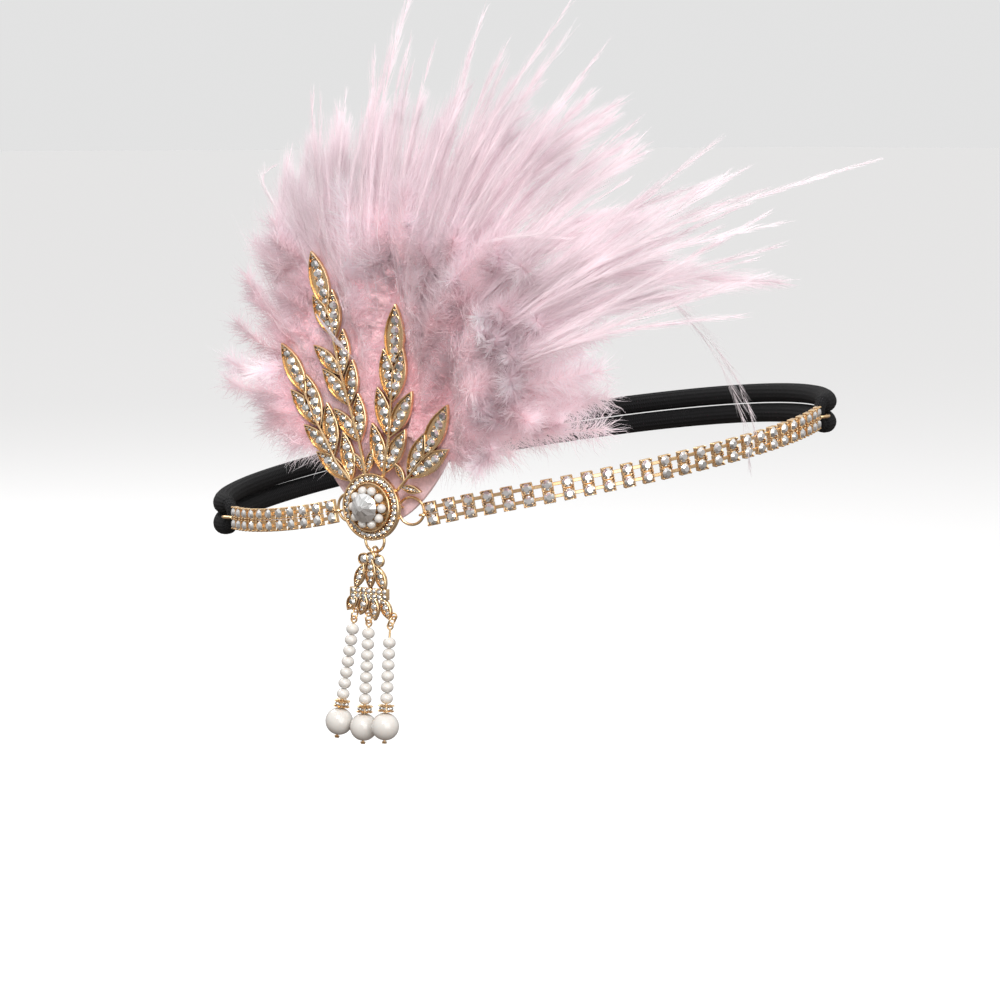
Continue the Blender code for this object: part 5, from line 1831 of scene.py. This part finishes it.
@dataclass
class Plume:
    """The plume: a soft core, downy tufts, long hackles and loose wisps."""

    root: tuple[float, float] = (5.0, 22.0)
    back: float = 3.4
    length: float = 100.0
    thickness: float = 17.0
    lock_width: float = 25.0
    flat_run: float = 38.0
    dense_reach: float = 71.0
    down_barbs: int = 124000
    hackle_barbs: int = 14500
    wisp_barbs: int = 6600
    strand_barbs: int = 150
    shaft_points: int = 16
    tufts: int = 10
    puffs: int = 4
    hackles: tuple[int, int] = (6, 4)
    wisps_in_row: int = 5
    core_locks: int = 17
    hackle_locks: tuple[int, int] = (5, 14)
    rear_lean: float = -40.0
    front_lean: float = 40.0
    rear_fill: float = 0.89
    upper_fill: float = 0.97
    rear_puff: float = 0.74
    tuft_limit: float = 88.0
    puff_limit: float = 86.0
    setback: tuple[float, float] = (0.6, 4.6)
    stray_share: float = 0.2
    stray_rise: tuple[float, float] = (2.0, 7.0)
    clearance: float = 5.3
    slope: float = 1.3
    hackle_shade: float = 0.92
    deep: tuple[float, float, float] = (1.0, 0.71, 0.74)
    middle: tuple[float, float, float] = (1.0, 0.83, 0.86)
    pale: tuple[float, float, float] = (1.0, 0.91, 0.945)
    ash: tuple[float, float, float] = (0.98, 0.90, 0.95)
    seed: int = 11
    locks: tuple[Row, ...] = (
        (-98, 0.40, 0.62, 0.62, 0.10, -0.16), (-86, 0.51, 0.80, 0.80, 0.18, -0.26),
        (-72, 0.59, 0.86, 0.90, 0.26, -0.34), (-58, 0.70, 0.92, 0.95, 0.30, -0.36),
        (-44, 0.75, 0.92, 1.00, 0.30, -0.34), (-31, 0.78, 0.90, 1.00, 0.26, -0.28),
        (-17, 0.79, 0.90, 1.00, 0.22, -0.20), (-4, 0.86, 0.92, 1.00, 0.20, -0.16),
        (9, 0.95, 0.96, 1.00, 0.22, -0.16), (20, 1.00, 0.96, 1.00, 0.28, -0.24),
        (31, 1.03, 0.96, 1.00, 0.34, -0.34), (42, 1.04, 0.96, 1.00, 0.40, -0.44),
        (53, 1.02, 0.96, 1.00, 0.44, -0.54), (65, 0.92, 0.92, 1.00, 0.48, -0.62),
        (76, 0.80, 0.84, 0.90, 0.48, -0.64), (87, 0.68, 0.72, 0.74, 0.42, -0.56),
        (96, 0.48, 0.52, 0.60, 0.30, -0.40),
        (-66, 0.44, 0.80, 0.90, 0.42, -0.20), (-38, 0.52, 0.80, 0.90, 0.40, -0.16),
        (36, 0.62, 0.90, 1.00, 0.56, -0.40), (51, 0.66, 0.90, 1.00, 0.58, -0.44),
        (66, 0.60, 0.88, 1.00, 0.58, -0.44), (81, 0.46, 0.72, 0.80, 0.52, -0.40),
    )
    wisps: tuple[Row, ...] = (
        (-14, 0.98, 0.16, -0.10), (1, 1.10, 0.16, -0.10), (6.5, 1.24, 0.20, -0.14),
        (16, 1.22, 0.22, -0.16), (27, 1.34, 0.26, -0.20), (34, 1.29, 0.30, -0.26),
        (45, 1.20, 0.34, -0.34), (52, 1.31, 0.34, -0.36), (58, 1.30, 0.34, -0.36),
        (62, 1.70, 0.34, -0.36), (66, 1.30, 0.36, -0.40),
    )
    strands: tuple[tuple[tuple[float, float, float], ...], ...] = (
        ((36.0, 73.0, 21.0), (80.0, 95.0, 24.0), (99.0, 51.2, -34.0), (91.0, 11.0, -50.0)),
        ((32.0, 69.0, 20.0), (75.0, 91.0, 23.0), (97.0, 57.0, -27.0), (96.0, 22.0, -44.0)),
        ((60.0, 46.0, 12.0), (70.0, 52.0, 15.0), (82.0, 60.0, 15.0), (94.0, 67.5, 14.0)),
        ((-6.0, 40.0, 4.8), (-9.5, 44.5, 8.6), (-14.0, 50.0, 9.6), (-18.0, 54.0, 9.0)),
        ((-21.0, 62.0, 5.0), (-27.0, 84.0, 9.0), (-44.0, 92.0, 10.0), (-33.0, 97.0, 9.0)),
    )

    def shaft(self, row: Row, lean: float, span: tuple[float, float], shift: float,
              bow: float) -> np.ndarray:
        """Points of a feather's shaft on the plume's fan.

        Args:
            row: size, rise and curl of its lock, and half the lock's depth.
            lean: from upright toward the front, in degrees.
            span: shares of the lock's reach where it starts and ends.
            shift: how far it stands off the lock's middle, outward.
            bow: sideways bow over its reach, in millimetres.

        Returns:
            Points in the ornament's frame.
        """
        size, rise, curl, depth = row
        foot, sway_back = self.back + 1.6, 0.6
        share = np.linspace(span[0], span[1], self.shaft_points)
        heading = self.heading(lean)
        across = np.array([-heading[1], heading[0], 0.0])
        run = self.length * size * share
        points = np.array([*self.root, foot]) + heading * run[:, None]
        points += across * (bow * np.sin(math.pi * share) - bow * sway_back * share)[:, None]
        points[:, 2] += self.length * size * (rise * share + curl * share ** 2)
        floor = self.back + depth * np.minimum(1.0, 0.3 + share) - np.maximum(0.0, run - self.flat_run)
        points[:, 2] = np.maximum(points[:, 2], floor) + shift * np.sin(math.pi * np.clip(share, 0.12, 0.9))
        return points

    @staticmethod
    def heading(lean: float) -> np.ndarray:
        """The flat direction of a lean, in degrees from upright."""
        return np.array([math.sin(math.radians(lean)), math.cos(math.radians(lean)), 0.0])

    def down_feathers(self, rng: np.random.Generator) -> list[Feather]:
        """Lay out the downy tufts and puffs of every lock.

        Args:
            rng: the seeded generator.

        Returns:
            The feathers.
        """
        made = []
        for lean, size, _, thick, rise, curl in self.locks:
            rear = lean < self.rear_lean
            dense = min(self.rear_fill if rear else self.upper_fill,
                        (self.dense_reach + 5.0 * (lean > 48.0)) / (self.length * size))
            depth = self.thickness / 2.0 * thick
            row = (size, rise, curl, depth)
            for _ in range(self.tufts):
                start = rng.uniform(0.06, 0.74) * dense
                span = (start, min(start + rng.uniform(0.24, 0.40), dense))
                shift = depth * rng.uniform(-0.8, 0.8)
                turn = min(lean + rng.normal(0.0, 7.0), max(lean, self.tuft_limit))
                shaft = self.shaft(row, turn, span, shift, rng.normal(0.0, 4.0))
                made.append(Feather(shaft, Barbs.DOWN, 1, rng.uniform(7.5, 12.5), rng.normal(0.0, 0.05)))
            for _ in range(self.puffs):
                place = rng.uniform(0.40, 0.92) * dense * (self.rear_puff if rear else 1.0)
                turn = min(lean + rng.normal(0.0, 6.0), max(lean, self.puff_limit))
                spot = self.shaft(row, turn, (place, place + 0.02), depth * rng.uniform(0.1, 0.8), 0.0)[0]
                made.append(self.puff(spot, turn, rng))
        return made

    def hackle_feathers(self, rng: np.random.Generator) -> list[Feather]:
        """Lay out the long hackles of the upper locks.

        Args:
            rng: the seeded generator.

        Returns:
            The feathers.
        """
        made = []
        half = self.thickness / 2.0
        for lean, size, _, _, rise, curl in self.locks[slice(*self.hackle_locks)]:
            for _ in range(self.hackles[int(lean >= self.front_lean)]):
                shift = half * rng.uniform(-1.1, 0.1)
                span = (rng.uniform(0.46, 0.66), rng.uniform(0.90, 1.16))
                shaft = self.shaft((size, rise, curl, half), lean + rng.normal(0.0, 5.0), span, shift,
                                   rng.normal(7.0, 5.0))
                made.append(Feather(shaft, Barbs.HACKLE, 1, rng.uniform(22.0, 36.0), rng.normal(0.0, 0.05)))
        return made

    def wisp_feathers(self, rng: np.random.Generator) -> list[Feather]:
        """Lay out the wisps, the first of each row at full reach.

        Args:
            rng: the seeded generator.

        Returns:
            The feathers.
        """
        made = []
        for lean, size, rise, curl in self.wisps:
            for index in range(self.wisps_in_row):
                span = (0.3, max(rng.uniform(0.78, 1.0), float(index == 0)))
                shaft = self.shaft((size, rise, curl, self.thickness / 2.0), lean + rng.normal(0.0, 2.6),
                                   span, rng.uniform(-4.0, 3.0), rng.normal(5.0, 4.0))
                made.append(Feather(shaft, Barbs.WISP, 1, rng.uniform(18.0, 34.0), rng.normal(0.0, 0.04)))
        return made

    def puff(self, spot: np.ndarray, lean: float, rng: np.random.Generator) -> Feather:
        """A short tuft that stands up from the plume.

        Args:
            spot: where it starts.
            lean: its lock's lean, in degrees.
            rng: the seeded generator.

        Returns:
            The tuft.
        """
        away = self.heading(lean)
        rise = math.radians(rng.uniform(20.0, 75.0))
        heading = math.cos(rise) * away + np.array([0.0, 0.0, math.sin(rise)]) + rng.normal(0.0, 0.3, 3)
        reach = rng.uniform(5.0, 10.0) / np.linalg.norm(heading)
        shaft = spot + heading * np.linspace(0.0, reach, self.shaft_points)[:, None]
        return Feather(shaft, Barbs.DOWN, 3, rng.uniform(7.0, 10.5), rng.normal(0.04, 0.05))

    def grow(self, feather: Feather, count: int, steps: int, rng: np.random.Generator) -> tuple[
            np.ndarray, np.ndarray, np.ndarray, np.ndarray]:
        """Grow the barbs of one feather.

        Args:
            feather: the feather.
            count: how many barbs.
            steps: points along each.
            rng: the seeded generator.

        Returns:
            Lines, facings, tints and widths of its barbs.
        """
        down = feather.kind is Barbs.DOWN
        where = rng.uniform(0.0, 1.0, count) ** (0.9 if down else 0.8)
        spot = where * (len(feather.shaft) - 1)
        low = np.minimum(spot.astype(int), len(feather.shaft) - 2)
        part = (spot - low)[:, None]
        base = feather.shaft[low] * (1.0 - part) + feather.shaft[low + 1] * part
        tangent = feather.shaft[low + 1] - feather.shaft[low]
        tangent /= np.linalg.norm(tangent, axis=1, keepdims=True)
        outward = np.array([0.0, 0.0, 1.0]) - tangent * tangent[:, 2:3]
        outward /= np.linalg.norm(outward, axis=1, keepdims=True)
        side = np.cross(tangent, outward)
        growth = GROWTH[feather.kind]
        if down:
            azimuth = rng.uniform(0.0, math.tau, count)
            profile = 1.0 - 0.25 * where
        else:
            azimuth = np.where(rng.uniform(size=count) < 0.5, 0.0, math.pi) + rng.normal(0.0, 0.25, count)
            profile = np.clip(1.12 - where, 0.14, 1.0) ** 0.8
        angle = np.radians(rng.uniform(growth.flattest, growth.steepest, count))
        reach = feather.length * profile * rng.uniform(growth.shortest, 1.15, count)
        cast = np.cos(azimuth)[:, None] * side + np.sin(azimuth)[:, None] * outward
        start = np.cos(angle)[:, None] * tangent + np.sin(angle)[:, None] * cast
        end = start + growth.bend * tangent + rng.normal(0.0, growth.stray, (count, 3))
        end /= np.linalg.norm(end, axis=1, keepdims=True)
        t = np.linspace(0.0, 1.0, steps)[None, :, None]
        lines = base[:, None, :] + reach[:, None, None] * (
            start[:, None, :] * (t - t * t / 2.0) + end[:, None, :] * (t * t / 2.0))
        phase = rng.uniform(0.0, math.tau, (count, 1, 1))
        sway = np.cross(start, outward)[:, None, :] * np.sin(math.tau * 1.3 * t + phase)
        lines = lines + sway * (reach[:, None, None] * growth.wave * t)
        tone = 1.0 + feather.tone + rng.normal(0.0, 0.05, count)
        tints = self.tint(base, t[:, :, 0], where, tone, feather.kind)
        facing = outward + growth.cast * cast + rng.normal(0.0, 0.12, (count, 3))
        widths = rng.uniform(0.7, 1.2, count)
        return lines, facing, tints, widths

    def settle(self, lines: np.ndarray, rng: np.random.Generator) -> np.ndarray:
        """Keep barbs behind the spray and in front of the pad.

        Args:
            lines: points of the barbs.
            rng: the seeded generator.

        Returns:
            The moved points.
        """
        count, steps, _ = lines.shape
        plan = lines[:, :, :2].reshape(-1, 2)
        swell = self.swell(plan).reshape(count, steps)
        setback = rng.uniform(*self.setback, (count, 1)) + 1.2 * (1.0 + swell)
        room = np.maximum(self.gap(plan).reshape(count, steps) - setback, 0.0)
        stray = (rng.uniform(size=(count, 1)) < self.stray_share) * rng.uniform(*self.stray_rise, (count, 1))
        ceiling = self.clearance + self.slope * room - rng.uniform(0.0, 1.0, (count, 1)) * (1.2 + 0.4 * room)
        ceiling += np.minimum(room / 5.0, 1.0) * (1.4 * swell + stray)
        run = np.hypot(plan[:, 0] - self.root[0], plan[:, 1] - self.root[1]).reshape(count, steps)
        floor = self.back - np.maximum(0.0, run - self.flat_run) + rng.uniform(0.0, 0.4, (count, 1))
        lines[:, :, 2] = np.minimum(np.maximum(lines[:, :, 2], floor), ceiling)
        return lines

    @staticmethod
    def swell(plan: np.ndarray) -> np.ndarray:
        """Slow waves over the down, from -1 to 1, at plan points."""
        return np.sin(0.36 * plan[:, 0] + 1.2 * np.sin(0.19 * plan[:, 1])) * np.cos(0.31 * plan[:, 1] + 0.8)

    @staticmethod
    def gap(plan: np.ndarray) -> np.ndarray:
        """How far plan points lie outside the spray and the medallion.

        Args:
            plan: the points, count x 2.

        Returns:
            One distance per point, below zero inside.
        """
        gap = np.hypot(plan[:, 0], plan[:, 1]) - Medallion().radius
        for hull in LeafSpray().hulls():
            edges = np.roll(hull, -1, axis=0) - hull
            normals = np.stack([edges[:, 1], -edges[:, 0]], axis=1)
            normals /= np.linalg.norm(normals, axis=1, keepdims=True)
            offsets = (hull * normals).sum(axis=1)
            gap = np.minimum(gap, (plan @ normals.T - offsets).max(axis=1))
        return gap

    def tint(self, base: np.ndarray, t: np.ndarray, where: np.ndarray, tone: np.ndarray,
             kind: Barbs) -> np.ndarray:
        """Colours along barbs: deep at the roots, pale and ashen at far tips.

        Args:
            base: where each barb starts.
            t: shares along the barbs.
            where: shares along the shaft.
            tone: brightness of each barb.
            kind: of their feather.

        Returns:
            Colours, count x steps x 3.
        """
        down = kind is Barbs.DOWN
        deep, middle, pale, ash = (np.array(c) for c in (self.deep, self.middle, self.pale, self.ash))
        away = np.clip(np.hypot(base[:, 0] - self.root[0], base[:, 1] - self.root[1]) / self.length, 0.0, 1.3)
        far = np.clip((away - 0.30) / GROWTH[kind].fade, 0.0, 1.0)[:, None, None]
        tip = (t[:, :, None] * 0.75 + 0.25 * where[:, None, None]) ** 0.9
        root_colour = (deep * 0.7 + middle * 0.3) * (1.0 - far) + middle * far
        if not down:
            root_colour = middle * 0.45 + pale * 0.55
        end_colour = pale * (1.0 - far) + (ash if down else (pale * 1.5 + ash) / 2.5) * far
        colour = root_colour * (1.0 - tip) + end_colour * tip
        return colour * (1.0 if down else self.hackle_shade) * tone[:, None, None]

    def strand(self, points: tuple[tuple[float, float, float], ...]) -> Feather:
        """A loose feather along a cubic curve.

        Args:
            points: the curve's four control points.

        Returns:
            The feather.
        """
        a, b, c, d = (np.array(p) for p in points)
        s = np.linspace(0.0, 1.0, self.shaft_points)[:, None]
        shaft = a * (1 - s) ** 3 + 3 * b * s * (1 - s) ** 2 + 3 * c * s * s * (1 - s) + d * s ** 3
        return Feather(shaft, Barbs.WISP, 1, 0.2 * float(np.linalg.norm(d - a)) + 4.0, 0.0)

    def make_core(self) -> bpy.types.Object:
        """Model the soft core: one swollen spindle per lock, melted together.

        Returns:
            The finished object.
        """
        Bench.start()
        parts = []
        share, lift, lowest, fullness = 0.36, 1.0, 2.6, 0.55
        wide, long, deep = 0.24, 0.30, 2.4
        for lean, size, width, depth, rise, curl in self.locks[:self.core_locks]:
            reach = self.length * size
            middle = Vector((*self.root, self.back + lift)) + Vector(self.heading(lean)) * (reach * share)
            height = reach * (rise * share + curl * share * share) * fullness
            middle.z = max(middle.z + height, self.back + lowest)
            bpy.ops.mesh.primitive_ico_sphere_add(subdivisions=3, radius=1.0)
            part = bpy.context.active_object
            part.data.transform(Matrix.Translation(middle) @ turned(-lean, "Z")
                                @ scaled(self.lock_width * wide * width, reach * long, deep * depth))
            parts.append(part)
        for part in parts:
            part.select_set(True)
        bpy.context.view_layer.objects.active = parts[0]
        bpy.ops.object.join()
        core = bpy.context.active_object
        core.name = core.data.name = "plume_core"
        Bench.modify(core, "REMESH", mode="VOXEL", voxel_size=1.2)
        Bench.modify(core, "SMOOTH", factor=0.6, iterations=6)
        points = np.array([v.co for v in core.data.vertices])
        points = self.settle(points[:, None, :], np.random.default_rng(self.seed))[:, 0]
        run = np.hypot(points[:, 0] - self.root[0], points[:, 1] - self.root[1])
        points[:, 2] = np.maximum(points[:, 2], self.back + 1.3 - 0.7 * np.maximum(0.0, run - self.flat_run))
        core.data.vertices.foreach_set("co", points.astype(np.float32).ravel())
        core.data.transform(scaled(MM) @ ORNAMENT)
        return dress(core, CORE, Body.HEADBAND, "feather_plume")

    def build(self) -> None:
        """Grow the plume over its core."""
        rng = np.random.default_rng(self.seed)
        self.make_core()
        feathers = self.down_feathers(rng) + self.hackle_feathers(rng) + self.wisp_feathers(rng)
        fields = {Barbs.DOWN: (BarbField("down_barbs", DOWN, 4, 0.17), self.down_barbs, 4),
                  Barbs.HACKLE: (BarbField("hackle_barbs", HACKLE, 5, 0.125), self.hackle_barbs, 2),
                  Barbs.WISP: (BarbField("wisp_barbs", HACKLE, 5, 0.15), self.wisp_barbs, 1)}
        for kind, (heap, total, pieces) in fields.items():
            own = [feather for feather in feathers if feather.kind is kind]
            spans = np.array([np.linalg.norm(np.diff(f.shaft, axis=0), axis=1).sum() for f in own])
            spans *= np.array([feather.barbs for feather in own])
            for feather, span in zip(own, spans):
                count = int(total * span / spans.sum())
                lines, facing, tints, widths = self.grow(feather, count, heap.steps, rng)
                heap.add(self.settle(lines, rng), facing, tints, widths * heap.width)
                if kind is not Barbs.DOWN:
                    self.add_quill(heap, feather, rng)
            if kind is Barbs.WISP:
                for points in self.strands:
                    strand = self.strand(points)
                    lines, facing, tints, widths = self.grow(strand, self.strand_barbs, heap.steps, rng)
                    heap.add(lines, facing, tints * 0.7 + 0.3, widths * 0.7 * heap.width)
            heap.finished(pieces)

    def add_quill(self, heap: BarbField, feather: Feather, rng: np.random.Generator) -> None:
        """Add a feather's shaft as one wider ribbon.

        Args:
            heap: the field that it joins.
            feather: the feather.
            rng: the seeded generator.
        """
        picks = np.linspace(0, len(feather.shaft) - 1, heap.steps).round().astype(int)
        line = self.settle(feather.shaft[picks][None], rng)
        heap.add(line, np.array([[0.0, 0.0, 1.0]]), np.tile(np.array(self.pale), (1, heap.steps, 1)),
                 np.array([0.34]))


@dataclass
class Studio:
    """Pale floor, soft lights and the camera at the photograph's angle."""

    azimuth: float = -40.0
    elevation: float = 6.0
    distance: float = 1.1
    lens: float = 128.5
    aim_right: float = -0.00675
    aim_up: float = -0.01232
    floor_level: float = -0.16

    def build(self) -> None:
        """Make the floor, the lights and the camera."""
        Bench.start()
        bpy.ops.mesh.primitive_plane_add(size=60.0, location=(0.0, 0.0, self.floor_level))
        floor = bpy.context.active_object
        floor.name = "floor"
        paper = bpy.data.materials.new("pale_paper")
        paper.use_nodes = True
        shader = paper.node_tree.nodes["Principled BSDF"]
        shader.inputs["Base Color"].default_value = (0.90, 0.90, 0.90, 1.0)
        shader.inputs["Roughness"].default_value = 0.9
        floor.data.materials.append(paper)
        floor.visible_diffuse = False
        floor.visible_glossy = False
        self.make_world()
        self.light("key", (-1.0, -0.8, 1.0), 0.5, 13.0)
        self.light("fill", (-0.5, -1.4, 0.3), 1.2, 10.0)
        self.light("back", (0.1, 1.0, 1.0), 0.8, 7.0)
        bpy.context.scene.view_settings.view_transform = "Standard"
        self.make_camera()

    @staticmethod
    def make_world() -> None:
        """A white surround to look at, with a darker lower half for the metal to reflect."""
        world = bpy.data.worlds.new("studio")
        bpy.context.scene.world = world
        world.use_nodes = True
        tree = world.node_tree
        tree.nodes.clear()
        place = tree.nodes.new("ShaderNodeTexCoord")
        split = tree.nodes.new("ShaderNodeSeparateXYZ")
        tree.links.new(place.outputs["Generated"], split.inputs["Vector"])
        height = tree.nodes.new("ShaderNodeMapRange")
        height.inputs["From Min"].default_value = -0.6
        height.inputs["From Max"].default_value = 0.8
        tree.links.new(split.outputs["Z"], height.inputs["Value"])
        colour = Finish.ramp(tree, height.outputs["Result"], (
            (0.0, (0.20, 0.17, 0.15)), (0.5, (0.50, 0.48, 0.47)), (1.0, (1.0, 1.0, 1.0))))
        path = tree.nodes.new("ShaderNodeLightPath")
        mix = tree.nodes.new("ShaderNodeMix")
        mix.data_type = "RGBA"
        tree.links.new(path.outputs["Is Camera Ray"], mix.inputs["Factor"])
        tree.links.new(colour, mix.inputs["A"])
        mix.inputs["B"].default_value = (0.765, 0.765, 0.765, 1.0)
        background = tree.nodes.new("ShaderNodeBackground")
        tree.links.new(mix.outputs["Result"], background.inputs["Color"])
        background.inputs["Strength"].default_value = 1.0
        output = tree.nodes.new("ShaderNodeOutputWorld")
        tree.links.new(background.outputs["Background"], output.inputs["Surface"])

    @staticmethod
    def light(name: str, place: tuple[float, float, float], size: float, power: float) -> None:
        """Add an area light that looks at the origin.

        Args:
            name: its name.
            place: where it stands, in metres.
            size: its side.
            power: in watts.
        """
        lamp = bpy.data.lights.new(name, "AREA")
        lamp.energy = power
        lamp.size = size
        thing = Bench.put(name, lamp)
        thing.location = place
        thing.rotation_euler = (-Vector(place)).to_track_quat("-Z", "Y").to_euler()

    def make_camera(self) -> None:
        """Set the camera where the photograph was taken from."""
        azimuth, elevation = math.radians(self.azimuth), math.radians(self.elevation)
        level = math.cos(elevation)
        back = Vector((math.sin(azimuth) * level, -math.cos(azimuth) * level, math.sin(elevation)))
        right = Vector((math.cos(azimuth), math.sin(azimuth), 0.0))
        up = back.cross(right)
        aim = right * self.aim_right + up * self.aim_up
        lens = bpy.data.cameras.new("camera")
        lens.lens = self.lens
        lens.sensor_width = 36.0
        lens.clip_start = 0.05
        camera = Bench.put("camera", lens)
        turn = Matrix((right, up, back)).transposed()
        camera.matrix_world = Matrix.Translation(aim + back * self.distance) @ turn.to_4x4()
        bpy.context.scene.camera = camera


def main() -> None:
    """Build each part of the dressed headband."""
    logging.basicConfig(level=logging.INFO, format="%(message)s")
    Studio().build()
    Band().build()
    LeafSpray().build()
    Medallion().build()
    Tassel().build()
    Plume().build()
    FeltPad().build()
    bpy.context.view_layer.update()


if __name__ == "__main__":
    main()
